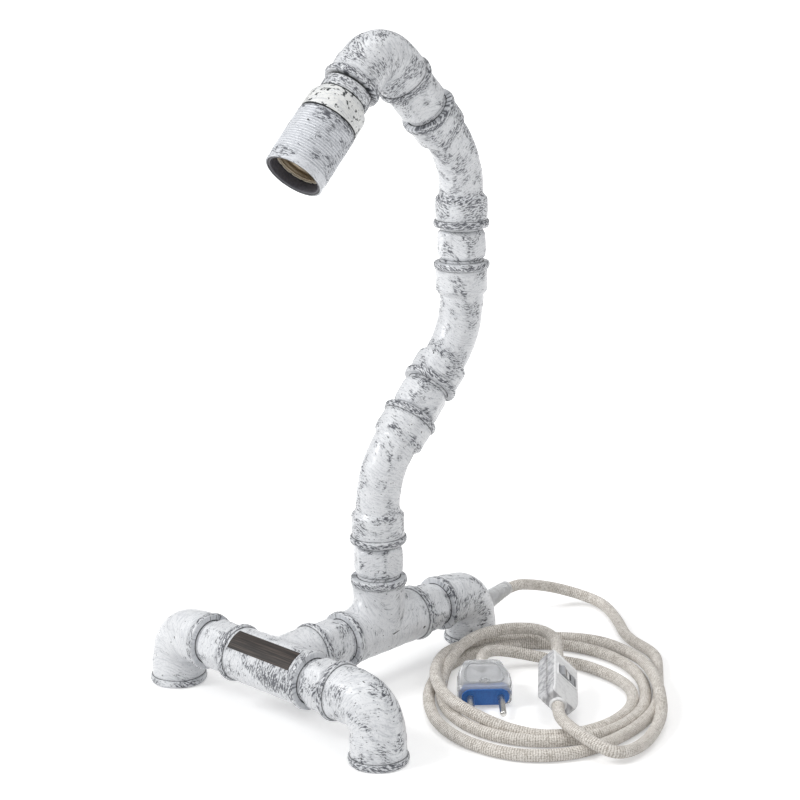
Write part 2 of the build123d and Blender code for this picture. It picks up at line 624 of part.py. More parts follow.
def build_switch():
    block = switch_block(0.0)
    corners = [e for e in block.edges() if abs(e.tangent_at(0).X) < 0.01]
    shell = fillet(corners, 1.2) - switch_block(SWITCH_WALL)
    shell -= cylinder_along_y(CORD_R, -SWITCH_LENGTH, SWITCH_LENGTH)
    split = Box(3 * SWITCH_LENGTH, 3 * SWITCH_LENGTH, 3 * SWITCH_LENGTH)
    upper = Pos(0, 0, 1.5 * SWITCH_LENGTH) * split
    top_z = SWITCH_HEIGHT / 2
    window_x, window_y = ROCKER_LENGTH + 2 * ROCKER_GAP, ROCKER_WIDTH + 2 * ROCKER_GAP
    window = Pos(0, 0, top_z) * Box(window_x, window_y, 4 * SWITCH_WALL)
    cover = (shell & upper) - window
    lug_y, pivot_z = window_y / 2 + 0.9, top_z - ROCKER_PIVOT
    pin = Pos(0, 0, pivot_z) * cylinder_along_y(1.0, -lug_y - 0.9, lug_y + 0.9)
    for side in (-1, 1):
        lug_height = ROCKER_PIVOT - SWITCH_WALL / 2 + 1.6
        lug = Box(4.4, 1.6, lug_height, align=(Align.CENTER, Align.CENTER, Align.MIN))
        cover += Pos(0, side * lug_y, pivot_z - 1.6) * lug
    save("switch_cover", SWITCH * (cover - pin))
    save("switch_base", SWITCH * (shell - upper))
    save("rocker_pin", SWITCH * pin)

    dish = Polyline(
        (-9, 0, top_z + 2.2),
        (0, 0, top_z + 0.9),
        (9, 0, top_z + 2.2),
        (9, 0, pivot_z - 1.8),
        (-9, 0, pivot_z - 1.8),
        close=True,
    )
    rocker = extrude(make_face(dish), ROCKER_WIDTH / 2, both=True)
    rocker &= Pos(0, 0, pivot_z) * cylinder_along_y(ROCKER_LENGTH / 2, -ROCKER_WIDTH, ROCKER_WIDTH)
    rocker -= Pos(0, 0, pivot_z) * cylinder_along_y(1.05, -ROCKER_WIDTH, ROCKER_WIDTH)
    tip = Pos(0, 0, pivot_z) * Rot(0, ROCKER_REST, 0) * Pos(0, 0, -pivot_z)
    save("switch_rocker", SWITCH * tip * rocker)

    terminal_y, floor_z = 14.5, SWITCH_WALL - SWITCH_HEIGHT / 2
    blocks, screws = [], []
    for end in (-1, 1):
        for side in (-1, 1):
            place = Pos(6.4 * side, end * terminal_y, floor_z)
            blocks.append(place * Pos(0, 0, 2.0) * Box(3.8, 7.0, 4.0))
            screws.append(place * ring(1.5, 0, 4.0, 5.6))
    save("switch_terminals", SWITCH * Compound(blocks))
    save("switch_terminal_screws", SWITCH * Compound(screws))
    blade = Pos(0, 0, floor_z + 0.4) * Box(3.0, 16.0, 0.8)
    post = Pos(0, 0, floor_z + 1.9) * Box(2.4, 2.4, 2.2)
    save("switch_contact", SWITCH * (blade + post))
    print("rocker pivot", (SWITCH * Pos(0, 0, pivot_z)).position, "axis", SWITCH_LOW)


def build_plug():
    """The flat two-pin plug, its front face at local Y 0 and its pins towards -Y."""
    front, back, end = PLUG_WIDTH / 2, PLUG_BACK_WIDTH / 2, PLUG_LENGTH
    plan = FilletPolyline(
        (0, 0), (front, 0), (front, 0.5 * end), (back, end), (0, end), radius=[1.5, 9.0, 5.0]
    )
    half_plan = plan + Line((0, end), (0, 0))
    half = extrude(Plane((0, 0, -PLUG_HEIGHT / 2)) * make_face(half_plan), PLUG_HEIGHT)
    body = half + mirror(half, Plane.YZ)
    facing = Plane((0, 0, 0), x_dir=(1, 0, 0), z_dir=(0, -1, 0))
    insert = extrude(facing * SlotOverall(INSERT_WIDTH, INSERT_HEIGHT), -INSERT_DEPTH)
    body -= insert
    cavity_start, cavity_end = INSERT_DEPTH + 4.0, PLUG_LENGTH - 6.0
    cavity = Box(18.0, cavity_end - cavity_start, PLUG_HEIGHT - 4.0)
    body -= Pos(0, (cavity_start + cavity_end) / 2, 0) * cavity
    body -= cylinder_along_y(CORD_R, cavity_end - 1, PLUG_LENGTH)
    screw_place = Pos(0, INSERT_DEPTH + 2.2, 0)
    body -= screw_place * ring(1.6, 0, -PLUG_HEIGHT / 2, PLUG_HEIGHT / 2)
    pins = []
    for side in (-1, 1):
        place = Pos(PIN_HALF_SPACING * side, 0, 0)
        blank = rounded_turned(
            [(0, -PIN_INSIDE), (PIN_R, -PIN_INSIDE), (PIN_R, PIN_LENGTH), (0, PIN_LENGTH)], [0.2, 1.4]
        )
        pins.append(place * Rot(90, 0, 0) * blank)
        hole = place * cylinder_along_y(PIN_R, 0, PIN_INSIDE)
        insert -= hole
        body -= hole
    save("plug_body", PLUG * body)
    save("plug_insert", PLUG * insert)
    save("plug_pins", PLUG * Compound(pins))
    screw = ring(1.6, 0, 1.0 - PLUG_HEIGHT / 2, PLUG_HEIGHT / 2 - 1.2)
    save("plug_screw", PLUG * screw_place * screw)


build_base()
build_neck()
build_head()
build_leads()
build_cords()
build_switch()
build_plug()
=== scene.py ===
from math import acos, cos, pi, radians, sin, tan

import bmesh
import bpy
import numpy as np
from mathutils import Matrix


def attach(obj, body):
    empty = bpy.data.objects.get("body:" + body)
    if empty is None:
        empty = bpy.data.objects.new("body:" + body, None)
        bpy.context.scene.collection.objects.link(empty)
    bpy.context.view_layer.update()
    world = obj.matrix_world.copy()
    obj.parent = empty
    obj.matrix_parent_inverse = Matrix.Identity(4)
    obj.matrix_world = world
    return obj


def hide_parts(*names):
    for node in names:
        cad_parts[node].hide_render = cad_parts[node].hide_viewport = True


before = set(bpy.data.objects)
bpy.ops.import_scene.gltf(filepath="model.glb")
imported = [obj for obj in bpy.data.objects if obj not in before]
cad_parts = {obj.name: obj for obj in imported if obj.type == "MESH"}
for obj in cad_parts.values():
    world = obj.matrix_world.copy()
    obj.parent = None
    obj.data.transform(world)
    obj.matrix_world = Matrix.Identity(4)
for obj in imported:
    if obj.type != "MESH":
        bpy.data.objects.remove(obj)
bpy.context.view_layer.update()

# A table lamp of painted pipe fittings with a threaded lamp holder, and a woven cord with an
# inline switch and a flat plug. Metres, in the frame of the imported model.
MM = 0.001
EAST, NORTH, UP = np.eye(3)
LEAN_BACK = np.array([0.0, sin(pi / 4), cos(pi / 4)])
LEAN_FORWARD = np.array([0.0, -sin(pi / 4), cos(pi / 4)])
OUTLET = np.array([0.0, -sin(pi / 4), -cos(pi / 4)])

# Fittings
MOUTH = 33.0 * MM
BEND_MOUTH = 43.5 * MM
BEAD_R = 17.5 * MM
BEAD_LENGTH = 4.6 * MM
SOCKET_R = 16.2 * MM
SOCKET_LENGTH, SHOULDER = 13.8 * MM, 3.4 * MM
BEND_SOCKET_LENGTH, BEND_SHOULDER = 17.5 * MM, 4.0 * MM
BODY_R = 15.6 * MM
BODY_BORE_R = 12.0 * MM
TUBE_R = 13.6 * MM
TUBE_BORE_R = 10.4 * MM
ELBOW_RADIUS = 17.0 * MM
NECK_TANGENT = BEND_MOUTH - BEND_SOCKET_LENGTH - BEND_SHOULDER - 0.4 * MM
THREAD_R = 13.2 * MM
THREAD_DEPTH = 14.6 * MM
CROTCH = 9.0 * MM  # of the blend between a tee's branch and its run
BRANCH_SOCKET = 6.5 * MM  # of a branch, from its mouth to where it narrows
NIPPLE_LENGTH = 47.0 * MM
NIPPLE_BORE_R = 9.6 * MM
HEX_ACROSS = 28.0 * MM
LEFT_GAP = 23.5 * MM
RIGHT_GAP = 19.0 * MM
BRIDGE_GAP = 21.5 * MM
REAR_GAP = 18.5 * MM
STEM_GAP = 22.0 * MM
NECK_GAP = 21.5 * MM
HEAD_GAP = 23.5 * MM

# Lamp holder, along its axis from the mouth of the head elbow
RING_START, RING_END, RING_R = 1.4 * MM, 8.6 * MM, 15.2 * MM
CAP_START, CAP_END = 8.8 * MM, 25.4 * MM
CAP_R, CAP_NECK_R, CAP_WALL = 18.0 * MM, 14.3 * MM, 1.2 * MM
SHELL_START, SHELL_RIDGES_END, SHELL_END = 25.8 * MM, 59.4 * MM, 64.4 * MM
SHELL_R, SHELL_BORE_R = 18.3 * MM, 16.9 * MM
SHELL_PITCH, SHELL_GROOVE = 1.65 * MM, 0.5 * MM
LINER_START, LINER_END, LINER_R, LINER_BORE_R = 50.0 * MM, 64.0 * MM, 16.8 * MM, 15.3 * MM
SCREW_SHELL_R, SCREW_SHELL_START, SCREW_SHELL_END = 13.3 * MM, 38.0 * MM, 57.4 * MM
CAP_THREAD_PITCH, CAP_THREAD_DEPTH = 3.6 * MM, 0.7 * MM
TUBE_THREAD_R = 5.0 * MM

# Cord, its grip, the coil beside the lamp, the inline switch and the plug
CORD_R, CORD_STEP = 3.6 * MM, 1.3 * MM
BRAID_THREADS, BRAID_PITCH = 12, 2.9 * MM
HEEL_ANGLE = 10.0
GRIP_SEAT, GRIP_NECK, GRIP_LENGTH = 30.8 * MM, 7.6 * MM, 24.0 * MM
GRIP_R, GRIP_TIP_R, GRIP_FLANGE = 7.0 * MM, 4.6 * MM, 3.0 * MM
COIL_X, COIL_Y, COIL_TURN, BEARING_STEP = 0.1017, 0.0356, 44.1, 23.0
SWITCH_LENGTH, SWITCH_WIDTH, SWITCH_HEIGHT = 47.0 * MM, 20.5 * MM, 14.5 * MM
SWITCH_WALL, SWITCH_TAPER = 1.3 * MM, 6.0 * MM
WINDOW_HALF = (7.4 * MM, 5.2 * MM)  # across and along the switch
PLUG_WIDTH, PLUG_BACK_WIDTH = 33.0 * MM, 24.0 * MM
PLUG_LENGTH, PLUG_HEIGHT = 33.5 * MM, 13.7 * MM
PLUG_SETBACK = 0.4 * MM  # half of the insert's stand before the body
SWITCH_POWER, PLUG_POWER = 14, 8  # exponents of their outlines

HALF_WIDTH = (4 * MOUTH + LEFT_GAP + RIGHT_GAP) / 2
HALF_DEPTH = (4 * MOUTH + BRIDGE_GAP + REAR_GAP) / 2
TEE_X = -HALF_WIDTH + 2 * MOUTH + LEFT_GAP
STEM_Y = -HALF_DEPTH + 2 * MOUTH + BRIDGE_GAP
BASE_Z = MOUTH
STEM_TOP = np.array([TEE_X, STEM_Y, BASE_Z + MOUTH + STEM_GAP])
LOWER_CORNER = STEM_TOP + UP * BEND_MOUTH
MIDDLE_CORNER = LOWER_CORNER + LEAN_BACK * (2 * BEND_MOUTH + NECK_GAP)
UPPER_CORNER = MIDDLE_CORNER + UP * (2 * BEND_MOUTH + NECK_GAP)
HEAD_CORNER = UPPER_CORNER + LEAN_FORWARD * (BEND_MOUTH + HEAD_GAP + MOUTH)
HOLDER_START = HEAD_CORNER + OUTLET * MOUTH
HEEL_CENTRE = np.array([TEE_X, HALF_DEPTH - ELBOW_RADIUS, BASE_Z - ELBOW_RADIUS])
HEEL_OUT = np.array([0.0, cos(radians(HEEL_ANGLE)), sin(radians(HEEL_ANGLE))])
CORD_START = HEEL_CENTRE + HEEL_OUT * GRIP_SEAT

COLUMNS, SHELL_COLUMNS, CORD_COLUMNS = 96, 120, 24  # round a pipe, the sleeve and the cord
RIDGE_STEP, ROLL_STEP = 0.16 * MM, 0.3 * MM  # along the sleeve's and the screw shell's threads
WAVES = 7  # of an uneven casting


def unit(vectors):
    return vectors / np.linalg.norm(vectors, axis=-1, keepdims=True)


def add_object(name, data, axes=None, origin=None):
    """New object of the scene. Its own axes turn to these three, and its origin goes there."""
    item = bpy.data.objects.new(name, data)
    bpy.context.scene.collection.objects.link(item)
    if axes is not None:
        place = np.eye(4)
        place[:3, :3], place[:3, 3] = np.array(axes).T, origin
        item.matrix_world = Matrix(place.tolist())
    return item


# ---- Camera


def make_camera():
    """Camera behind its aim by the distance, along its azimuth and height, then rolled."""
    azimuth, height, roll = radians(44.143), radians(14.403), radians(-0.663)
    aim, distance = np.array([0.00225, 0.02211, 0.17347]), 1.1387
    back = np.array([sin(azimuth) * cos(height), -cos(azimuth) * cos(height), sin(height)])
    right = unit(np.cross(-back, UP))
    up = np.cross(right, -back)
    axes = [right * cos(roll) + up * sin(roll), up * cos(roll) - right * sin(roll), back]
    data = bpy.data.cameras.new("camera")
    data.lens, data.sensor_width = 84.19, 36.0
    bpy.context.scene.camera = add_object("camera", data, axes, aim + back * distance)


# ---- Shader helpers


class Value:
    """A shader socket that can be added, taken away and multiplied; each adds a Math node."""

    def __init__(self, shader, socket):
        self.shader = shader
        self.socket = socket

    def __add__(self, other):
        return self.shader.math("ADD", self, other)

    def __sub__(self, other):
        return self.shader.math("SUBTRACT", self, other)

    def __rsub__(self, other):
        return self.shader.math("SUBTRACT", other, self)

    def __mul__(self, other):
        return self.shader.math("MULTIPLY", self, other)

    __radd__ = __add__
    __rmul__ = __mul__


class Shader:
    """A new material of this name, or the world, with its surface and the nodes that feed it."""

    def __init__(self, owner, surface="Principled BSDF", **fixed):
        self.material = bpy.data.materials.new(owner) if isinstance(owner, str) else owner
        self.material.use_nodes = True
        self.tree = self.material.node_tree
        self.surface = self.tree.nodes[surface]
        for socket, value in fixed.items():
            self.set(socket.replace("_", " "), value)

    def set(self, socket, value):
        self.feed(self.surface.inputs[socket], value)

    def feed(self, socket, value):
        if isinstance(value, Value):
            self.tree.links.new(value.socket, socket)
        elif isinstance(value, tuple) and len(value) == 3 and socket.type == "RGBA":
            socket.default_value = (*value, 1.0)
        else:
            socket.default_value = value

    def node(self, kind, settings, sockets, output=0):
        """Node of a kind: its settings first, then its sockets by name or number."""
        node = self.tree.nodes.new("ShaderNode" + kind)
        for name, value in settings.items():
            setattr(node, name, value)
        for key, value in sockets.items():
            self.feed(node.inputs[key], value)
        return Value(self, node.outputs[output])

    def math(self, operation, *values):
        return self.node("Math", {"operation": operation}, dict(enumerate(values)))

    def place(self):
        return self.node("TexCoord", {}, {}, "Object")

    def attribute(self, name, output="Fac"):
        return self.node("Attribute", {"attribute_name": name}, {}, output)

    def noise(self, vector, scales, detail=2.0, roughness=0.5):
        """Noise of a place times its scales, or times one scale for all three axes."""
        scales = scales if isinstance(scales, tuple) else (scales,) * 3
        vector = self.node("VectorMath", {"operation": "MULTIPLY"}, {0: vector, 1: scales})
        sockets = {"Vector": vector, "Scale": 1.0, "Detail": detail, "Roughness": roughness}
        return self.node("TexNoise", {}, sockets)

    def step(self, value, low, high):
        """0 below low, 1 above high and smooth between them."""
        sockets = {"Value": value, "From Min": low, "From Max": high}
        return self.node("MapRange", {"interpolation_type": "SMOOTHSTEP"}, sockets)

    def mix(self, factor, first, second):
        sockets = {0: factor, 6: first, 7: second}
        return self.node("Mix", {"data_type": "RGBA"}, sockets, 2)

    def finish(self, colour, roughness, height, strength, distance):
        """Feeds the colour, the roughness and the bump, and gives the material."""
        self.set("Base Color", colour)
        self.set("Roughness", roughness)
        sockets = {"Height": height, "Strength": strength, "Distance": distance}
        self.set("Normal", self.node("Bump", {}, sockets))
        return self.material


# ---- Mesh helpers


class Skin:
    """Grids of points that become one mesh, each with its place in the pattern, its wear and
    its darkness."""

    def __init__(self):
        self.points, self.quads, self.uvs, self.count = [], [], [], 0
        self.fields = {"pattern": [], "worn": [], "dark": []}

    def add(self, points, pattern=None, worn=0.0, dark=0.0, ends=False, uv=None, hollow=False):
        """A grid of rows that close on themselves, and the last row joins the first unless it
        has ends. Its faces point out, by the sign of the volume that it holds, or in where it
        is the wall of a hollow."""
        rows, columns = points.shape[:2]
        row = np.arange(rows - 1 if ends else rows)[:, None]
        column = np.arange(columns)[None, :]
        corners = [(row, column), (row, column + 1), (row + 1, column + 1), (row + 1, column)]
        flat = points.reshape(-1, 3)
        quads = [r % rows * columns + c % columns for r, c in corners]
        quads = np.stack(quads, axis=-1).reshape(-1, 4)
        around = flat - flat.mean(axis=0)
        a, b, c, d = (around[quads[:, i]] for i in range(4))
        volume = np.sum(a * np.cross(b, c)) + np.sum(a * np.cross(c, d))
        order = [0, 1, 2, 3] if (volume > 0) != hollow else [3, 2, 1, 0]
        self.points.append(flat)
        self.quads.append(quads[:, order] + self.count)
        self.count += len(flat)
        if pattern is None:
            pattern = points / MM
        self.fields["pattern"].append(np.broadcast_to(pattern, points.shape).reshape(-1, 3))
        for name, value in (("worn", worn), ("dark", dark)):
            self.fields[name].append(np.broadcast_to(value, points.shape[:2]).reshape(-1))
        if uv is not None:
            at_corner = [
                np.stack(np.broadcast_arrays(uv[0][c], uv[1][r]), axis=-1) for r, c in corners
            ]
            at_corner = np.stack(at_corner, axis=2).reshape(-1, 4, 2)
            self.uvs.append(at_corner[:, order].reshape(-1, 2))

    def make(self, name, material, body, replaces=(), poles=False):
        mesh = bpy.data.meshes.new(name)
        points = np.concatenate(self.points)
        mesh.from_pydata(points.tolist(), [], np.concatenate(self.quads).tolist())
        pattern = mesh.attributes.new("pattern", "FLOAT_VECTOR", "POINT")
        pattern.data.foreach_set("vector", np.concatenate(self.fields["pattern"]).ravel())
        for field in ("worn", "dark"):
            attribute = mesh.attributes.new(field, "FLOAT", "POINT")
            attribute.data.foreach_set("value", np.concatenate(self.fields[field]))
        if self.uvs:
            layer = mesh.uv_layers.new(name="UVMap")
            layer.data.foreach_set("uv", np.concatenate(self.uvs).ravel())
        if poles:
            work = bmesh.new()
            work.from_mesh(mesh)
            bmesh.ops.remove_doubles(work, verts=work.verts, dist=1e-7)
            work.to_mesh(mesh)
            work.free()
        mesh.polygons.foreach_set("use_smooth", np.ones(len(mesh.polygons), dtype=bool))
        mesh.materials.append(material)
        piece = add_object(name, mesh)
        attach(piece, body)
        if replaces:
            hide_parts(*replaces)
        return piece


def straight_path(start, way, first):
    """Frames along a straight line: the centre is the start plus the distance times the way."""
    second = np.cross(way, first)

    def frames(along):
        centre = start + along[:, None] * way
        return centre, np.tile(first, (len(along), 1)), np.tile(second, (len(along), 1))

    return frames


def bent_path(corner, way_in, way_out, mouth, tangent):
    """Frames along a straight run, an arc about the pivot and a straight run, and the length.

    The arc's angle is the distance past its start over its radius, held between nothing and
    the whole turn; what is left of the distance goes straight on along the way."""
    angle = acos(float(way_in @ way_out))
    radius = tangent / tan(angle / 2)
    side = unit(np.cross(way_in, way_out))
    toward = np.cross(side, way_in)
    pivot = corner - way_in * tangent + toward * radius
    arc_start, arc_length = mouth - tangent, radius * angle

    def frames(along):
        past = along - arc_start
        turn = np.clip(past / radius, 0.0, angle)[:, None]
        way = np.cos(turn) * way_in + np.sin(turn) * toward
        inward = np.cos(turn) * toward - np.sin(turn) * way_in
        rest = np.minimum(past, 0.0) + np.maximum(past - arc_length, 0.0)
        centre = pivot - radius * inward + rest[:, None] * way
        return centre, inward, np.cross(way, inward)

    return frames, 2 * arc_start + arc_length


def rings(frames, along, reach, angles):
    """Points at a reach about a path: centre + reach (cos angle first + sin angle second)."""
    centre, first, second = frames(along)
    reach = np.broadcast_to(reach, (len(along), len(angles)))[..., None]
    around = (
        np.cos(angles)[None, :, None] * first[:, None]
        + np.sin(angles)[None, :, None] * second[:, None]
    )
    return centre[:, None] + reach * around


def turns(columns=COLUMNS):
    return np.arange(columns) * 2 * pi / columns


def uneven(along, angles, seed, size=0.13 * MM):
    """Slight waves of a hand-finished casting: sines of whole turns and of the distance,
    over about the root of their number."""
    random = np.random.default_rng(seed)
    wave = np.zeros((len(along), len(angles)))
    for _ in range(WAVES):
        around, length = random.integers(1, 6), random.uniform(9, 26) * MM
        phase = random.uniform(0, 2 * pi)
        wave += np.sin(around * angles[None, :] + along[:, None] * 2 * pi / length + phase)
    return wave * size / 2.6


def pipe_pattern(along, angles, seed, swing=1.0):
    """The pattern's place in millimetres: round a cylinder by the angle and up it by the
    distance, which swings by two sines of the angle so that brush strokes run askew."""
    radius = SOCKET_R / MM
    sway = swing * (2.6 * np.sin(2 * angles + seed) + 1.4 * np.sin(3 * angles + 2 * seed))
    rows = along[:, None] / MM + sway[None, :]
    around = np.broadcast_to(angles[None, :], rows.shape)
    shift = np.array([37.0, 11.0, 53.0]) * seed
    return np.stack([radius * np.cos(around), radius * np.sin(around), rows], axis=-1) + shift


# ---- Fittings


def mouth_outline(body_r, socket_length=SOCKET_LENGTH, shoulder=SHOULDER):
    """Distance from the mouth, reach, wear and darkness: face, half-round bead, socket and a
    shoulder that eases to the body by 3t^2 - 2t^3."""
    # The darkness is a thin dark seam at the thread's edge, partly painted shade, and painted shade
    # in the creases at both ends of the bead and on the socket just past it.
    face = [(0.0, THREAD_R + 0.2 * MM, 0.1, 1.0), (0.0, THREAD_R + 0.6 * MM, 0.1, 0.7)]
    face += [(0.0, THREAD_R + 1.0 * MM, 0.1, 0.3)]
    swing = np.linspace(0, pi, 15)
    bead = np.stack(
        [
            BEAD_LENGTH / 2 * (1 - np.cos(swing)),
            SOCKET_R + (BEAD_R - SOCKET_R) * np.sin(swing) ** 0.8,
            0.15 + 0.7 * np.sin(swing) ** 2,
            0.85 * np.sin(swing / 2) ** 16 + 0.5 * np.cos(swing / 2) ** 16,
        ],
        axis=-1,
    )
    socket = np.linspace(BEAD_LENGTH + 0.5 * MM, socket_length - 0.6 * MM, 8)
    ease = np.linspace(0, 1, 9)
    slope = socket_length - 0.4 * MM + (shoulder + 0.6 * MM) * ease
    along = np.concatenate([socket, slope])
    reach = np.concatenate(
        [np.full(8, SOCKET_R), SOCKET_R + (body_r - SOCKET_R) * ease**2 * (3 - 2 * ease)]
    )
    edge = np.exp(-(((along - socket_length) / (1.8 * MM)) ** 2))
    wear = 0.3 * edge * (SOCKET_R - body_r > 1 * MM) + 0.12
    rest = np.stack([along, reach, wear, 0.8 * np.exp(-(along - BEAD_LENGTH) / (0.8 * MM))], -1)
    return np.concatenate([face, bead, rest])


def bore_outline(bore_r):
    """The hollow's distances and reaches from a mouth inwards, all dark: bare iron and painted shade
    inside.
    """
    outline = [(1.2 * MM, THREAD_R), (THREAD_DEPTH, THREAD_R), (THREAD_DEPTH + 1.2 * MM, bore_r)]
    return np.array([(s, r, 0.0, 1.0) for s, r in outline])


def flipped(outline, length):
    """The same outline at the other end of a pipe of this length, in reverse order."""
    back = outline[::-1].copy()
    back[:, 0] = length - back[:, 0]
    return back


def pipe_outline(length, body_r, bore_r, **socket):
    """Round trip of a pipe's wall: out along its outside and back along its hollow."""
    end, bore = mouth_outline(body_r, **socket), bore_outline(bore_r)
    outer = np.linspace(end[-1, 0], length - end[-1, 0], 26)[1:-1]
    inner = np.linspace(bore[-1, 0], length - bore[-1, 0], 16)[1:-1]
    body = np.array([(s, body_r, 0.05, 0.0) for s in outer])
    # The hollow is dark too: bare iron and painted shade inside.
    hollow = np.array([(s, bore_r, 0.0, 1.0) for s in inner])
    return np.concatenate(
        [end, body, flipped(end, length), flipped(bore, length), hollow[::-1], bore[::-1]]
    )


def add_pipe(skin, frames, outline, seed, level, patch=None):
    """Closed wall along a path: each row of the outline is a ring about it. A patch is more
    wear about a distance and an angle, by a bell curve of each."""
    angles = turns()
    along, reach, worn, dark = outline.T
    points = rings(frames, along, reach[:, None] + uneven(along, angles, seed), angles)
    worn = np.broadcast_to(worn[:, None] + level, (len(along), len(angles))).copy()
    if patch:
        distance, angle, amount = patch
        far = ((along - distance) / (17 * MM)) ** 2
        worn += amount * np.exp(-far[:, None] - ((angles - angle)[None, :] / 0.36) ** 2)
    pattern = pipe_pattern(along, angles, seed)
    skin.add(points, pattern, worn, dark[:, None])


ELBOW = (MOUTH, ELBOW_RADIUS, BODY_R, BODY_BORE_R, {})
BEND_ENDS = {"socket_length": BEND_SOCKET_LENGTH, "shoulder": BEND_SHOULDER}
BEND = (BEND_MOUTH, NECK_TANGENT, TUBE_R, TUBE_BORE_R, BEND_ENDS)


def make_bent(name, kind, corner, way_in, way_out, body, seed, level):
    """Elbow or bend of this kind, as one closed wall."""
    mouth, tangent, body_r, bore_r, ends = kind
    frames, length = bent_path(corner, way_in, way_out, mouth, tangent)
    skin = Skin()
    add_pipe(skin, frames, pipe_outline(length, body_r, bore_r, **ends), seed, level)
    skin.make(name + "_casting", PAINT, body, [name])


def branch_rings(centre, run, across, branch, angles, seed):
    """A tee's branch down to its run, of radius R. At each angle the wall leaves the branch's
    radius b where the blend f = CROTCH cos^2 angle begins: its reach is b + f (1 - cos t) and
    its height is the run's surface there, sqrt(R^2 - (reach sin angle)^2), plus f (1 - sin t)."""
    ahead, sideways = np.cos(angles), np.sin(angles)
    body_r = BODY_R + 0.3 * MM
    blend = CROTCH * ahead**2 + 0.25 * MM

    def surface(reach):
        return np.sqrt(np.maximum(SOCKET_R**2 - (reach * sideways) ** 2, 0.0))

    end = mouth_outline(body_r)
    end = end[end[:, 0] < BRANCH_SOCKET]
    rows = [np.broadcast_to(MOUTH - end[:, :1], (len(end), len(angles)))]
    reaches = [np.broadcast_to(end[:, 1:2], (len(end), len(angles)))]
    blend_top = surface(body_r) + blend
    share = np.linspace(0, 1, 9)[1:-1, None]
    rows.append((MOUTH - BRANCH_SOCKET) * (1 - share) + blend_top * share)
    ease = np.clip(share * 3, 0, 1)
    reaches.append(SOCKET_R + (body_r - SOCKET_R) * ease * np.ones_like(angles))
    swing = np.linspace(0, pi / 2, 13)[:, None]
    reach = body_r + blend * (1 - np.cos(swing))
    rows.append(surface(reach) + blend * (1 - np.sin(swing)))
    reaches.append(reach)
    shown = sum(len(part) for part in rows)
    for drop, pull in ((-0.5 * MM, 0.0), (-3.0 * MM, -0.4 * MM)):
        rows.append((rows[2][-1] + drop)[None])
        reaches.append((reach[-1] + pull)[None])
    for height in (6.0 * MM, MOUTH - THREAD_DEPTH, MOUTH - 1.2 * MM):
        rows.append(np.full((1, len(angles)), height))
        reaches.append(np.full((1, len(angles)), THREAD_R if height > 7 * MM else BODY_BORE_R))
    height, reach = np.concatenate(rows), np.concatenate(reaches)
    depth = MOUTH - height.mean(axis=1)
    reach = reach + uneven(depth, angles, seed) * (np.arange(len(depth)) < shown - 1)[:, None]
    points = (
        centre
        + (reach * ahead)[..., None] * run
        + (reach * sideways)[..., None] * across
        + height[..., None] * branch
    )
    worn, dark = np.zeros(len(height)), np.zeros(len(height))
    worn[: len(end)], dark[: len(end)] = end[:, 2], end[:, 3]
    # The rows inside the branch are dark: bare iron and painted shade inside.
    dark[shown:] = 1.0
    return points, depth, worn, dark


def make_tee(name, centre, run, branch, seed, level, patch=None):
    across = np.cross(branch, run)
    skin = Skin()
    frames = straight_path(centre - run * MOUTH, run, branch)
    add_pipe(skin, frames, pipe_outline(2 * MOUTH, SOCKET_R, BODY_BORE_R), seed, level, patch)
    angles = turns()
    points, depth, worn, dark = branch_rings(centre, run, across, branch, angles, seed + 1)
    pattern = pipe_pattern(depth, angles, seed + 1)
    skin.add(points, pattern, worn[:, None], dark[:, None])
    skin.make(name + "_casting", PAINT, "base", [name])


def make_nipple(name, middle, way, first, gap, body, seed):
    """Hexagon that thins to a neck at both ends, then a narrow groove dark with painted shade
    and the painted start of the thread. The hexagon's reach is its half width over the cosine
    of the angle from the nearest flat, rounded at its corners and held under a cone at each end."""
    half_gap, half = gap / 2, NIPPLE_LENGTH / 2
    collar = half_gap - 2.1 * MM
    flat_end = collar - 2.9 * MM
    angles = turns()
    groove = [collar - 0.05 * MM, collar + 0.05 * MM, collar + 0.5 * MM, collar + 0.65 * MM]
    hexagon = np.concatenate([np.linspace(collar - 0.2 * MM, flat_end - 0.4 * MM, 11), [2 * MM, 0.0]])
    thread = np.linspace(half_gap + 1.2 * MM, collar + 1.1 * MM, 9)
    side = np.concatenate([[half, half, half - 1.4 * MM], thread, groove[::-1], hexagon])
    along = np.concatenate([side, -side[-2::-1]])
    distance = np.abs(along)[:, None]
    from_flat = np.abs((angles + pi / 6) % (pi / 3) - pi / 6)
    flats = HEX_ACROSS / 2 / np.cos(from_flat) - 0.9 * MM * (from_flat / (pi / 6)) ** 6
    past = np.clip((distance - flat_end) / (collar - flat_end), 0, 1)
    neck_r = THREAD_R + 0.25 * MM
    collar_reach = neck_r + (flats[None, :] - neck_r) * (1 - past**2.2)
    in_groove = (distance > collar + 0.05 * MM) & (distance < collar + 0.6 * MM)
    outer_reach = np.where(in_groove, THREAD_R - 0.55 * MM, THREAD_R)
    reach = np.where(distance <= collar, collar_reach, outer_reach)
    reach[[0, -1]] = NIPPLE_BORE_R
    reach[[1, -2]] = THREAD_R - 1.4 * MM
    reach += uneven(along, angles, seed, 0.1 * MM) * (distance <= collar)
    corner = (from_flat / (pi / 6)) ** 8
    worn = np.where(distance <= collar, 0.12 + 0.2 * corner + 0.25 * past, 0.25)
    # Painted shade: darkest in the groove, a little on the thread and full inside the fittings.
    dark = np.where(distance > collar, 0.25, 0.0) + np.where(in_groove, 0.75, 0.0)
    dark = np.broadcast_to(np.where(distance > half_gap, 1.0, dark), reach.shape)
    skin = Skin()
    points = rings(straight_path(middle, way, first), along, reach, angles)
    skin.add(points, pipe_pattern(along, angles, seed), worn, dark)
    skin.make(name + "_threads", PAINT, body, [name])


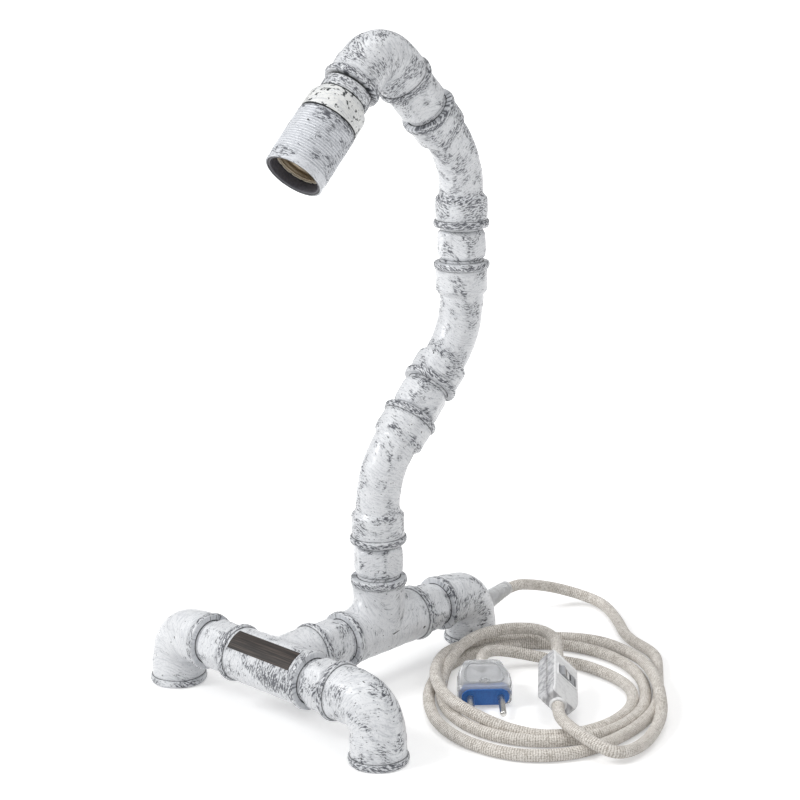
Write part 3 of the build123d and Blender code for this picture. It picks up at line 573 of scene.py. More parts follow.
def make_fittings():
    left, right = [-HALF_WIDTH, -HALF_DEPTH, BASE_Z], [HALF_WIDTH, -HALF_DEPTH, BASE_Z]
    rear = [TEE_X, HALF_DEPTH, BASE_Z]
    feet = [
        ("left_foot_elbow", ELBOW, left, UP, EAST, "base", 1, -0.2),
        ("right_foot_elbow", ELBOW, right, UP, -EAST, "base", 2, 0.12),
        ("rear_foot_elbow", ELBOW, rear, UP, -NORTH, "base", 3, 0.15),
    ]
    neck = [
        ("lower_neck_bend", BEND, LOWER_CORNER, UP, LEAN_BACK, "neck", 11, 0.1),
        ("middle_neck_bend", BEND, MIDDLE_CORNER, LEAN_BACK, UP, "neck", 12, 0.1),
        ("upper_neck_bend", BEND, UPPER_CORNER, UP, LEAN_FORWARD, "neck", 13, 0.3),
        ("head_elbow", ELBOW, HEAD_CORNER, LEAN_FORWARD, OUTLET, "head", 14, 0.22),
    ]
    for row in feet:
        make_bent(*row)
    patch = (46 * MM, radians(183), 1.3)
    make_tee("front_tee", [TEE_X, -HALF_DEPTH, BASE_Z], EAST, NORTH, 5, 0.05, patch)
    make_tee("stem_tee", [TEE_X, STEM_Y, BASE_Z], NORTH, UP, 8, -0.15)
    for row in neck:
        make_bent(*row)

    halfway = BEND_MOUTH + NECK_GAP / 2
    stem, lower = STEM_TOP - UP * STEM_GAP / 2, LOWER_CORNER + LEAN_BACK * halfway
    upper = MIDDLE_CORNER + UP * halfway
    head = UPPER_CORNER + LEAN_FORWARD * (BEND_MOUTH + HEAD_GAP / 2)
    left = [-HALF_WIDTH + MOUTH + LEFT_GAP / 2, -HALF_DEPTH, BASE_Z]
    right = [HALF_WIDTH - MOUTH - RIGHT_GAP / 2, -HALF_DEPTH, BASE_Z]
    bridge = [TEE_X, -HALF_DEPTH + MOUTH + BRIDGE_GAP / 2, BASE_Z]
    rear = [TEE_X, HALF_DEPTH - MOUTH - REAR_GAP / 2, BASE_Z]
    nipples = [
        ("left_hex_nipple", left, EAST, UP, LEFT_GAP, "base"),
        ("right_hex_nipple", right, EAST, UP, RIGHT_GAP, "base"),
        ("bridge_hex_nipple", bridge, NORTH, UP, BRIDGE_GAP, "base"),
        ("rear_hex_nipple", rear, NORTH, UP, REAR_GAP, "base"),
        ("stem_hex_nipple", stem, UP, EAST, STEM_GAP, "base"),
        ("lower_neck_nipple", lower, LEAN_BACK, -LEAN_FORWARD, NECK_GAP, "neck"),
        ("upper_neck_nipple", upper, UP, EAST, NECK_GAP, "neck"),
        ("head_hex_nipple", head, LEAN_FORWARD, LEAN_BACK, HEAD_GAP, "neck"),
    ]
    for seed, row in enumerate(nipples, 21):
        make_nipple(*row, seed)


# ---- Lamp holder

HOLDER_SIDE = np.cross(-LEAN_FORWARD, OUTLET)
HOLDER_FRAMES = straight_path(HOLDER_START, OUTLET, HOLDER_SIDE)
EDGE_STEPS = 6  # points over a rounded edge


def rounded(points, radii):
    """An outline with round corners: each corner gives way to points on its arc, between the
    spots that lie the arc's tangent length away from it on both of its sides."""
    out = [points[0]]
    for before, corner, after, radius in zip(points, points[1:], points[2:], radii):
        before, corner, after = (np.array(p, float) for p in (before, corner, after))
        to_before, to_after = unit(before - corner), unit(after - corner)
        half = acos(float(np.clip(to_before @ to_after, -1, 1))) / 2
        middle = corner + unit(to_before + to_after) * radius / sin(half)
        start = corner + to_before * radius / tan(half) - middle
        end = corner + to_after * radius / tan(half) - middle
        swing = acos(float(np.clip(unit(start) @ unit(end), -1, 1)))
        share = np.linspace(0, 1, EDGE_STEPS)[:, None]
        arc = (np.sin((1 - share) * swing) * start + np.sin(share * swing) * end) / sin(swing)
        out += list(middle + arc)
    out.append(points[-1])
    return np.array(out, float)


def add_turned(skin, frames, outline, seed, worn=0.0, dark=0.0, size=0.0, columns=COLUMNS):
    """Closed ring turned from an outline of distances along the axis and reaches."""
    angles = turns(columns)
    along, reach = outline.T
    points = rings(frames, along, reach[:, None] + uneven(along, angles, seed, size), angles)
    skin.add(points, pipe_pattern(along, angles, seed), worn, dark)


def make_turned(name, material, node, *outline_and_looks):
    """Piece of the holder that is one closed ring turned about its axis."""
    skin = Skin()
    add_turned(skin, HOLDER_FRAMES, *outline_and_looks)
    skin.make(name, material, "head", [node])


def make_holder_ring():
    """Bush that closes the elbow's mouth, with its ring."""
    root = THREAD_R - 0.9 * MM
    thread = [(-13 * MM, TUBE_THREAD_R), (-13 * MM, THREAD_R - 1.2 * MM), (-11.8 * MM, THREAD_R)]
    thread += [(0.0, THREAD_R), (0.5 * MM, root), (RING_START, root)]
    ring = [(RING_START, root), (RING_START, RING_R), (RING_END, RING_R), (RING_END, 8 * MM)]
    ring = rounded(ring, [0.9 * MM, 0.9 * MM])
    outline = np.concatenate([thread, ring, [(RING_END, TUBE_THREAD_R)]])
    along, reach = outline.T
    # Dark on the thread inside the elbow and on the ring's back and inner faces: painted shade in the
    # crevice and the hollow.
    dark = np.where((along < RING_START + 0.05 * MM) | (reach < RING_R - 0.8 * MM), 1.0, 0.0)
    looks = (31, 0.6, dark[:, None], 0.12 * MM)
    make_turned("reducing_bush_ring", PAINT, "reducing_bush", outline, *looks)


def make_holder_cap():
    """Domed cap: an outline over the outside and back under it, a wall's thickness in. Painted
    shade darkens its inside and its faces at the thin seams before and after it."""
    shoulder, end = CAP_START + 0.35 * (CAP_END - CAP_START), CAP_END - 0.1 * MM
    floor, wall_r, neck_r = CAP_START + 2 * CAP_WALL, CAP_R - CAP_WALL, CAP_NECK_R - CAP_WALL
    outside = [(CAP_START, TUBE_THREAD_R), (CAP_START, CAP_NECK_R), (shoulder, CAP_R)]
    outside = rounded([*outside, (end, CAP_R), (end, wall_r)], [1.6 * MM, 3.0 * MM, 0.7 * MM])
    inside = [(end, wall_r), (shoulder + CAP_WALL, wall_r), (floor, neck_r), (floor, TUBE_THREAD_R)]
    inside = rounded(inside, [2.0 * MM, 0.6 * MM])
    smooth = np.linspace(shoulder + 1.5 * MM, CAP_END - 1.2 * MM, 14)
    count = np.searchsorted(outside[:, 0], smooth[0])
    straight = [(distance, CAP_R) for distance in smooth]
    outside = np.concatenate([outside[:count], straight, outside[count:]])
    outline = np.concatenate([outside[:-1], inside])
    dark = np.zeros(len(outline))
    # Painted shade: the inside, the face at the end and the inner part of the neck.
    dark[len(outside) - 4 :] = 1.0
    dark[outline[:, 1] < CAP_NECK_R - 1.0 * MM] = 1.0
    looks = (32, 0.0, dark[:, None], 0.1 * MM)
    make_turned("holder_cap_dome", CHIPPED_PAINT, "holder_cap", outline, *looks)


def make_holder_shell():
    """Threaded sleeve: the reach drops by the groove's depth times a cosine's fourth power of
    half the distance over the pitch less the turn, and the lip at its end stays plain. The
    groove's share goes to the darkness as painted shade in the thread, a band next to the cap
    and the bore are dark with painted shade too, and the wear is most next to the cap."""
    angles = turns(SHELL_COLUMNS)
    ridged = np.arange(SHELL_START + 1.7 * MM, SHELL_RIDGES_END, RIDGE_STEP)
    lip = SHELL_RIDGES_END + np.array([0.3, 0.8, 2.2, 3.6, 4.4, 4.8, 4.95]) * MM
    start = SHELL_START + np.array([0.0, 0.1, 1.4]) * MM
    along = np.concatenate([start, ridged, lip, [SHELL_END, SHELL_START]])
    turn = along[:, None] / SHELL_PITCH - angles[None, :] / (2 * pi)
    reach = SHELL_R - SHELL_GROOVE * np.cos(pi * turn) ** 4
    plain = np.clip((along - SHELL_RIDGES_END) / (0.8 * MM), 0, 1)[:, None]
    reach = reach * (1 - plain) + (SHELL_R - 0.25 * MM) * plain
    reach[:3] = SHELL_R - 0.9 * MM
    reach[-3] -= 0.25 * MM
    reach[-2:] = SHELL_BORE_R
    reach[:-2] += uneven(along[:-2], angles, 33, 0.05 * MM)
    groove = np.cos(pi * turn) ** 4 * (1 - plain)
    worn = 0.8 * np.exp(-((along - SHELL_START) / (6 * MM)))[:, None] + 0.15 * (1 - groove)
    # Painted shade: in the thread's grooves, in the band at the seam next to the cap and in the bore.
    dark = 0.42 * groove
    dark[:3] = 0.62
    dark[-2:] = 1.0
    points = rings(HOLDER_FRAMES, along, reach, angles)
    skin = Skin()
    skin.add(points, pipe_pattern(along, angles, 33, 0.15), worn, dark)
    skin.make("holder_shell_thread", SLEEVE_PAINT, "head", ["holder_shell"])


def make_holder_rim():
    """Dark liner inside the sleeve's mouth, with a rounded lip."""
    outline = [(LINER_START, LINER_R), (LINER_END, LINER_R)]
    outline += [(LINER_END, LINER_BORE_R), (LINER_START, LINER_BORE_R)]
    outline = rounded(outline, [0.3 * MM, 0.5 * MM])
    make_turned("holder_rim_liner", LINER, "holder_rim", outline, 34)


def make_screw_shell():
    """Rolled thread for the lamp's cap: a sine of the distance over the pitch less the turn."""
    angles = turns()
    inner = np.arange(SCREW_SHELL_START + 1.0 * MM, SCREW_SHELL_END - 0.4 * MM, ROLL_STEP)
    turn = 2 * pi * inner[:, None] / CAP_THREAD_PITCH - angles[None, :]
    ease = np.clip((SCREW_SHELL_END - inner - 1.2 * MM) / (3 * MM), 0, 1)[:, None]
    roll = SCREW_SHELL_R - CAP_THREAD_DEPTH * (0.5 + 0.5 * np.sin(turn)) * ease
    floor = SCREW_SHELL_START + 0.1 * MM
    along = np.concatenate([[floor, floor], inner, inner[::-1], [floor - 0.1 * MM] * 2])
    low = np.full((1, len(angles)), 9.0 * MM)
    high = np.full((1, len(angles)), SCREW_SHELL_R - 0.3 * MM)
    wall = 0.32 * MM
    reach = np.concatenate([low, high, roll, (roll + wall)[::-1], high + wall, low])
    points = rings(HOLDER_FRAMES, along, reach, angles)
    skin = Skin()
    skin.add(points, pipe_pattern(along, angles, 35))
    skin.make("screw_shell_thread", BRASS, "head", ["screw_shell"])


# ---- Cords


def lay(across, away, height):
    """Point by the coil's own axes, from the coil's centre."""
    turn = radians(COIL_TURN)
    x = COIL_X + across * cos(turn) - away * sin(turn)
    return np.array([x, COIL_Y + across * sin(turn) + away * cos(turn), height])


def lay_way(across, away):
    return lay(across, away, 0.0) - lay(0.0, 0.0, 0.0)


def switch_axes():
    """The switch's directions: along to its low end, across and out of its top."""
    yaw, pitch, roll = radians(-4.5), radians(8.3), radians(46.0)
    level = lay_way(sin(yaw), -cos(yaw))
    across = lay_way(cos(yaw), sin(yaw))
    low = level * cos(pitch) - UP * sin(pitch)
    top = UP * cos(pitch) + level * sin(pitch)
    return low, across * cos(roll) - top * sin(roll), top * cos(roll) + across * sin(roll)


def plug_axes():
    """The plug's directions: across, backward along its length and out of its top."""
    yaw, pitch = radians(1.5), radians(9.5)
    level = lay_way(-sin(yaw), cos(yaw))
    backward = level * cos(pitch) + UP * sin(pitch)
    return lay_way(cos(yaw), sin(yaw)), backward, UP * cos(pitch) - level * sin(pitch)


SWITCH_LOW, SWITCH_ACROSS, SWITCH_TOP = switch_axes()
SWITCH_CENTRE = lay(0.0111, -0.009, 0.016)
SWITCH_LOW_END = SWITCH_CENTRE + SWITCH_LOW * SWITCH_LENGTH / 2
SWITCH_HIGH_END = SWITCH_CENTRE - SWITCH_LOW * SWITCH_LENGTH / 2
PLUG_ACROSS, PLUG_BACKWARD, PLUG_UP = plug_axes()
PLUG_FRONT = lay(-0.0318, -0.008, 0.0072)
PLUG_BACK = PLUG_FRONT + PLUG_BACKWARD * PLUG_LENGTH
LOW = CORD_R + 0.0001

# Each turn's bearing in degrees, its reach from the coil's centre and its height
TURNS_TO_SWITCH = [
    (15, 0.0772, LOW), (-8, 0.0722, LOW), (-30, 0.0703, LOW), (-50, 0.0712, LOW),
    (-70, 0.0780, LOW), (-90, 0.0865, LOW), (-120, 0.0800, LOW), (-150, 0.0715, LOW),
    (-180, 0.0648, LOW), (-215, 0.0705, LOW), (-245, 0.0815, LOW), (-270, 0.0880, LOW),
    (-298, 0.0870, LOW), (-330, 0.0745, LOW), (-345, 0.0680, LOW), (-360, 0.0655, LOW),
    (-390, 0.0632, LOW), (-408, 0.0632, LOW), (-450, 0.0638, LOW), (-480, 0.0622, LOW),
    (-510, 0.0585, LOW), (-540, 0.0582, LOW), (-570, 0.0635, 0.0080), (-590, 0.0730, 0.0125),
]
TURNS_TO_PLUG = [
    (-50, 0.0880, LOW), (-32, 0.0805, 0.0050), (-22, 0.0768, 0.0080), (-12, 0.0738, 0.0106),
    (2, 0.0710, 0.0113), (20, 0.0750, 0.0110), (32, 0.0805, 0.0090), (45, 0.0920, 0.0044),
    (66, 0.1040, LOW), (90, 0.0965, LOW), (110, 0.0900, 0.0058), (125, 0.0830, 0.0106),
    (140, 0.0750, 0.0114), (160, 0.0658, 0.0113), (180, 0.0598, 0.0113), (210, 0.0562, 0.0113),
    (235, 0.0542, 0.0088), (255, 0.0562, 0.0042), (275, 0.0574, LOW), (300, 0.0560, LOW),
    (330, 0.0562, LOW), (360, 0.0582, LOW), (382, 0.0588, LOW),
]


def coil_points(keys):
    """Points of the loose turns, at even bearings: reach and height run evenly between keys."""
    bearings, reaches, heights = np.array(keys).T
    way = np.sign(bearings[-1] - bearings[0])
    count = int(round(abs(bearings[-1] - bearings[0]) / BEARING_STEP))
    at = np.linspace(bearings[0], bearings[-1], count + 1)
    reach = np.interp(way * at, way * bearings, reaches)
    height = np.interp(way * at, way * bearings, heights)
    return [
        lay(r * cos(radians(b)), r * sin(radians(b)), z) for b, r, z in zip(at, reach, height)
    ]


ROUTE_TO_SWITCH = [
    CORD_START,
    CORD_START + HEEL_OUT * 0.028,
    (0.0026, 0.1470, 0.0210),
    (0.0032, 0.1660, 0.0144),
    (0.0095, 0.1785, 0.0094),
    (0.0215, 0.1860, 0.0056),
    (0.0365, 0.1850, 0.0040),
    (0.0610, 0.1675, LOW),
    (0.0835, 0.1470, LOW),
    lay(0.0800, 0.0660, LOW),
    lay(0.0772, 0.0400, LOW),
    *coil_points(TURNS_TO_SWITCH),
    lay(-0.0340, 0.0740, 0.0145),
    lay(-0.0160, 0.0835, 0.0150),
    lay(0.0, 0.0845, 0.0150),
    lay(0.0105, 0.0770, 0.0152),
    lay(0.0150, 0.0640, 0.0160),
    lay(0.0156, 0.0470, 0.0176),
    SWITCH_HIGH_END,
]
ROUTE_TO_PLUG = [
    SWITCH_LOW_END,
    SWITCH_LOW_END + SWITCH_LOW * 0.010,
    lay(0.0110, -0.0550, 0.0118),
    lay(0.0165, -0.0685, 0.0122),
    lay(0.0255, -0.0800, 0.0100),
    lay(0.0385, -0.0865, 0.0060),
    *coil_points(TURNS_TO_PLUG),
    lay(0.0340, 0.0485, LOW),
    lay(0.0150, 0.0555, 0.0042),
    lay(-0.0050, 0.0580, 0.0080),
    lay(-0.0230, 0.0540, 0.0128),
    PLUG_BACK + PLUG_BACKWARD * 0.015,
    PLUG_BACK,
]


def route_line(name, route):
    """Evenly spaced points of the route's smooth spline."""
    curve = bpy.data.curves.new(name, "CURVE")
    curve.dimensions = "3D"
    curve.resolution_u = 8
    spline = curve.splines.new("NURBS")
    spline.points.add(len(route) - 1)
    for point, place in zip(spline.points, route):
        point.co = (*place, 1.0)
    spline.order_u = 3
    spline.use_endpoint_u = True
    holder = add_object(name, curve)
    line = bpy.data.meshes.new_from_object(holder)
    points = np.empty(len(line.vertices) * 3)
    line.vertices.foreach_get("co", points)
    points = points.reshape(-1, 3)
    bpy.data.objects.remove(holder)
    distance = np.r_[0.0, np.cumsum(np.linalg.norm(np.diff(points, axis=0), axis=1))]
    even = np.linspace(0.0, distance[-1], int(distance[-1] / CORD_STEP) + 1)
    return np.stack([np.interp(even, distance, points[:, i]) for i in range(3)], axis=-1), even


def make_cord(name, route, replaces):
    """Round tube along the route: each ring lies across the line, with closed ends."""
    line, distance = route_line(name, route)
    way = unit(np.gradient(line, axis=0))
    side = unit(np.cross(UP, way))
    lift = np.cross(way, side)
    doubled = [np.concatenate([v[:1], v, v[-1:]]) for v in (line, side, lift, distance)]
    distance, reach = doubled[-1], np.r_[0.0, np.full(len(line), CORD_R), 0.0]
    points = rings(lambda _: doubled[:3], distance, reach[:, None], turns(CORD_COLUMNS))
    skin = Skin()
    skin.add(points, ends=True, uv=(np.linspace(0, 1, CORD_COLUMNS + 1), distance))
    return skin.make(name, BRAID, "base", replaces, poles=True), line


def make_grip():
    """Tapered boot: a round flange, then a cone ringed by five shallow grooves."""
    flange_end = GRIP_SEAT + GRIP_FLANGE
    tip = GRIP_SEAT + GRIP_LENGTH
    cone = np.linspace(flange_end + 0.9 * MM, tip - 0.5 * MM, 60)
    share = (cone - flange_end) / (tip - flange_end)
    groove = 0.5 * MM * np.cos(pi * (share * 6 + 0.5)) ** 8 * (share > 0.12) * (share < 0.95)
    body = GRIP_R - 0.7 * MM - (GRIP_R - 0.7 * MM - GRIP_TIP_R) * share**0.8 - groove
    bore = CORD_R + 0.02 * MM
    outline = [(GRIP_SEAT - GRIP_NECK, 3.1 * MM), (GRIP_SEAT - GRIP_NECK, TUBE_THREAD_R)]
    outline += [(GRIP_SEAT, TUBE_THREAD_R), (GRIP_SEAT, GRIP_R - 0.5 * MM)]
    outline += [(GRIP_SEAT + 0.5 * MM, GRIP_R), (flange_end - 0.6 * MM, GRIP_R)]
    outline += [(flange_end, GRIP_R - 0.5 * MM)]
    outline += list(zip(cone, body))
    outline += [(tip, GRIP_TIP_R - 0.5 * MM), (tip, bore), (GRIP_SEAT, bore), (GRIP_SEAT, 3.1 * MM)]
    skin = Skin()
    frames = straight_path(HEEL_CENTRE, HEEL_OUT, EAST)
    add_turned(skin, frames, np.array(outline), 41, columns=48)
    return skin.make("cord_grip_boot", MILKY, "base", ["cord_grip"])


def loops(rows):
    """Rings of a superellipse: half sizes times the cosine and the sine of the angle, each to
    the power of two over the exponent. A row gives the half sizes, the exponent and a height,
    with lengths in millimetres."""
    across, along, exponent, height = np.array(rows).T[..., None]
    angles = turns()
    ahead, sideways = np.cos(angles)[None], np.sin(angles)[None]
    x = across * MM * np.sign(ahead) * np.abs(ahead) ** (2 / exponent)
    y = along * MM * np.sign(sideways) * np.abs(sideways) ** (2 / exponent)
    return x, y, np.broadcast_to(height * MM, x.shape)


def placed(origin, parts, axes):
    """Points at these parts along three axes from an origin."""
    return origin + sum(part[..., None] * axis for part, axis in zip(parts, axes))


def mirrored(rows):
    """The same rows below the middle, in reverse order."""
    return [(a, b, n, -z) for a, b, n, z in reversed(rows)]


def between(first, last, shares):
    """Rows that run evenly from one row to another, at these shares of the way."""
    return [tuple((1 - t) * np.array(first) + t * np.array(last)) for t in shares]


def rounding(across, along, exponent, top, radius):
    """Rows over a rounded edge: each is inset by radius times one less the cosine."""
    rows = []
    for swing in np.linspace(0, pi / 2, EDGE_STEPS):
        inset = radius * (1 - cos(swing))
        height = top - radius + radius * sin(swing)
        rows.append((across - inset, along - inset, exponent, height))
    return rows


def switch_points(rows):
    """The rows in the switch's place. Over the taper at both ends, by a smooth step of the
    distance from the middle, the shape grows a quarter lower and a little narrower."""
    x, y, z = loops(rows)
    share = np.clip((np.abs(y) - (SWITCH_LENGTH / 2 - SWITCH_TAPER)) / SWITCH_TAPER, 0, 1)
    ease = share**2 * (3 - 2 * share)
    parts = x * (1 - 0.03 * ease), y, z * (1 - 0.25 * ease)
    return placed(SWITCH_CENTRE, parts, (SWITCH_ACROSS, SWITCH_LOW, SWITCH_TOP))


def make_switch():
    """Clear two-part box with round edges: a cover with a raised frame round its window, a
    base with a collar at each cord, and a dark well round the rocker as painted shade in the
    window's recess. The cover's walls below its top and the whole base are marked dark, for
    painted shade on its sides."""
    half, width, length = SWITCH_HEIGHT / 2 / MM, SWITCH_WIDTH / 2 / MM, SWITCH_LENGTH / 2 / MM
    wall, window = SWITCH_WALL / MM, [size / MM for size in WINDOW_HALF]

    def row(size, height, grow=0.0):
        return (size[0] + grow, size[1] + grow, SWITCH_POWER, height)

    box, inner = (width, length), (width - wall, length - wall)
    frame_out = (window[0] + 0.75, window[1] + 1.2)
    edge = rounding(*box, SWITCH_POWER, half, 1.4)
    rows = [row(box, 0.12), row(box, 2.0)] + edge
    rows += between(edge[-1], row(frame_out, half), (0.3, 0.6, 0.9, 1.0))
    rows += [row(frame_out, half + 0.7, -0.05), row(frame_out, half + 0.85, -0.25)]
    rows += [row(window, half + 0.85, 0.2), row(window, half + 0.6), row(window, half - wall)]
    rows += between(rows[-1], row(inner, half - wall, -0.7), (0.1, 0.5, 1.0))
    rows += [row(inner, half - wall - 0.7), row(inner, 0.12)]
    # Rows below the top are marked dark: painted shade on the cover's side walls and in its window.
    dark = np.array([[float(z < half - 0.6)] for _, _, _, z in rows])
    skin = Skin()
    skin.add(switch_points(rows), dark=dark)
    cover = skin.make("switch_cover_shell", CLEAR, "base", ["switch_cover"])

    rows = [row((0.0, 0.0), -half), row((width / 2, length / 2), -half), *mirrored(edge)]
    rows += [row(box, -0.12), row(inner, -0.12), row(inner, wall + 0.7 - half)]
    rows += [row(inner, wall - half, -0.7), row((0.0, 0.0), wall - half)]
    skin = Skin()
    # The whole base is marked dark: painted shade.
    skin.add(switch_points(rows), dark=1.0, ends=True)
    collar = [(21.9, 3.65), (21.9, 5.2), (23.9, 5.2), (24.9, 4.5), (24.9, 3.65)]
    for side in (-1, 1):
        frames = straight_path(SWITCH_CENTRE, side * SWITCH_LOW, SWITCH_ACROSS)
        add_turned(skin, frames, np.array(collar) * MM, 42, columns=48)
    base = skin.make("switch_base_shell", CLEAR, "base", ["switch_base"], poles=True)

    # A dark ring down the window's walls round the rocker: painted shade in the recess.
    low, high = half - 4.6, half - 1.4
    corners = ((high, 0.06), (low, 0.06), (low, 0.5), (high, 0.5))
    skin = Skin()
    skin.add(switch_points([row(window, *corner) for corner in corners]))
    well = skin.make("switch_rocker_shade_well", WELL_SHADE, "base")
    return [cover, base, well]


def plug_points(rows):
    """The rows in the plug's place: its back narrows by a smooth step of the distance, and
    its front stays a little behind the insert's."""
    x, y, z = loops(rows)
    y = y + PLUG_LENGTH / 2 + PLUG_SETBACK
    share = np.clip((y / PLUG_LENGTH - 0.4) / 0.6, 0, 1)
    x = x * (1 - (1 - PLUG_BACK_WIDTH / PLUG_WIDTH) * share**2 * (3 - 2 * share))
    return placed(PLUG_FRONT, (x, y, z), (PLUG_ACROSS, PLUG_BACKWARD, PLUG_UP))


def make_plug():
    """Clear flat body with round edges and a hollow, a boss about its screw and a raised
    line round its top."""
    width, half = PLUG_WIDTH / 2 / MM, PLUG_HEIGHT / 2 / MM
    length = (PLUG_LENGTH / 2 - PLUG_SETBACK) / MM
    edge = rounding(width, length, PLUG_POWER, half, 2.6)
    top = [*edge, (width * 0.45, length * 0.45, 6, half), (0.0, 0.0, 4, half)]
    lid = rounding(width - 3.0, length - 7.0, PLUG_POWER, half - 2.0, 1.0)
    lid += [(0.0, 0.0, 4, half - 2.0)]
    skin = Skin()
    skin.add(plug_points(mirrored(top) + top), ends=True)
    skin.add(plug_points(mirrored(lid) + lid), ends=True, hollow=True)
    ridge = ((0.55, -0.1), (0.35, 0.32), (-0.35, 0.32), (-0.55, -0.1))
    boss = [(half - 0.2, 1.7), (half - 0.2, 3.4), (half + 0.3, 3.2), (half + 0.5, 2.9)]
    boss += [(half + 0.5, 2.2), (half + 0.1, 1.7)]
    for side in (-1, 1):
        line = [(width * 0.70 + d, length * 0.66 + d, 5, side * (half + dz)) for d, dz in ridge]
        skin.add(plug_points(line))
        frames = straight_path(PLUG_FRONT + 0.0082 * PLUG_BACKWARD, side * PLUG_UP, PLUG_ACROSS)
        add_turned(skin, frames, np.array(boss) * MM, 43, columns=40)
    return [skin.make("plug_body_shell", FROSTED, "base", ["plug_body"], poles=True)]


def make_cords():
    grip = make_grip()
    switch_nodes = ["rocker_pin", "switch_terminals"]
    switch_nodes += ["switch_terminal_screws", "switch_contact", "switch_rocker"]
    to_switch = ["cord_tail", "cord_coil", "cord_to_switch"]
    cord, line = make_cord("cord_to_switch_braid", ROUTE_TO_SWITCH, to_switch)
    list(make_switch())
    to_plug = ["cord_from_switch", "cord_to_plug"]
    cord, line = make_cord("cord_to_plug_braid", ROUTE_TO_PLUG, to_plug)
    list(make_plug())


# ---- Finishes

WHITE_PAINT = (0.825, 0.838, 0.86)
GREY_PAINT = (0.50, 0.52, 0.555)
SHADED_PAINT = (0.33, 0.345, 0.375)
BARE_IRON = (0.065, 0.07, 0.087)
CHIP_AND_SHADE_BLACK = (0.032, 0.036, 0.038)
HAZE_SCALE, GRAIN_SCALE = 260.0, 900.0


def paint(name, wear, chips, white=WHITE_PAINT, dashes=(0.4, 0.4, 1.5), groove=0.6):
    """White paint brushed round a dark casting: a grey mottle, fine brush lines, patches of
    short dark dashes where the iron shows, worn edges, dark seams, painted shade where the
    dark attribute marks creases, grooves and hollows, and a few chips."""
    shader = Shader(name, IOR=1.5, Coat_Weight=0.35, Coat_Roughness=0.16)
    place = shader.attribute("pattern", "Vector")
    worn, dark = shader.attribute("worn"), shader.attribute("dark")
    lines = shader.noise(place, (0.15, 0.15, 1.2), 3.0, 0.65)
    dash = shader.noise(place, dashes, 2.0, 0.65)
    patch = shader.noise(place, (0.085, 0.085, 0.095), 1.0)
    cloud = shader.noise(place, (0.24, 0.24, 0.3), 1.0)
    mottle = shader.noise(place, (0.95, 0.95, 1.15), 3.0, 0.75)
    spots = shader.noise(place, (0.34, 0.34, 0.4), 2.0, 0.6)
    thin = 1.3 * patch + 0.4 * cloud + 0.5 * worn
    hatched = shader.step(thin, 0.93 - wear, 1.13 - wear)
    bare = shader.step(dash + 0.07 * worn, 0.515, 0.59) * hatched
    alone = shader.step(dash + 0.12 * worn, 0.67 - 0.3 * wear, 0.725 - 0.3 * wear)
    bare = shader.math("MAXIMUM", bare, alone)
    chip = shader.step(spots + 0.12 * mottle, 0.76 - chips, 0.79 - chips)
    # Near black where the dark attribute is high: dark seams, and painted shade in the deepest
    # creases and hollows.
    seam_and_shade = shader.step(dark + 0.5 * mottle, 0.75, 1.2)
    colour = shader.mix(0.5 * shader.step(lines, 0.49, 0.62), white, GREY_PAINT)
    colour = shader.mix(0.5 * shader.step(mottle, 0.5, 0.66), colour, GREY_PAINT)
    # Painted shade: greyer by the groove strength times the dark attribute, in creases, grooves and
    # hollows.
    colour = shader.mix(groove * dark, colour, SHADED_PAINT)
    colour = shader.mix(0.22 * hatched, colour, GREY_PAINT)
    colour = shader.mix(0.92 * bare, colour, BARE_IRON)
    colour = shader.mix(shader.math("MAXIMUM", chip, seam_and_shade), colour, CHIP_AND_SHADE_BLACK)
    shader.set("Metallic", 0.3 * bare)
    height = 0.8 * lines + 0.6 * mottle - 0.35 * bare
    return shader.finish(colour, 0.25 + 0.24 * lines + 0.12 * bare, height, 0.6, 0.3 * MM)


def braid():
    """Linen braid: two families of threads cross where the sines of the two spirals, of the
    turn plus and less the distance, have the same sign. Light and dark fibres run through."""
    shader = Shader("linen_braid", Sheen_Weight=0.2, Sheen_Roughness=0.5)
    uv = shader.node("TexCoord", {}, {}, "UV")
    around, along = (shader.node("SeparateXYZ", {}, {0: uv}, part) for part in (0, 1))
    turned, run = around * (2 * pi * BRAID_THREADS), along * (2 * pi / BRAID_PITCH)
    weave = shader.math("SINE", turned + run) * shader.math("SINE", turned - run)
    place = shader.place()
    fibre = shader.noise(place, 1100.0, 3.0, 0.75)
    slub = shader.noise(place, 220.0)
    tone = shader.step(fibre + 0.25 * slub + 0.16 * weave, 0.44, 0.78)
    colour = shader.mix(tone, (0.37, 0.33, 0.285), (0.86, 0.825, 0.775))
    return shader.finish(colour, 0.88, 0.45 * weave + 0.7 * fibre, 0.6, 0.35 * MM)


def clear_plastic(name, tint, roughness, transmission, shade):
    """Moulded plastic that lets some light through, with upright streaks of shade, and more
    shade on the walls that are marked dark."""
    shader = Shader(name, IOR=1.47, Transmission_Weight=transmission)
    haze = shader.noise(shader.place(), HAZE_SCALE)
    streak = shader.noise(shader.place(), (420.0, 420.0, 70.0), 2.0, 0.6)
    grey = 0.2 * shader.step(streak, 0.50, 0.66)
    grey = grey + shader.attribute("dark") * (0.45 + 0.35 * shader.step(streak, 0.40, 0.60))
    colour = shader.mix(grey, tint, shade)
    return shader.finish(colour, roughness + 0.08 * haze, haze + 0.3 * streak, 0.15, 0.2 * MM)


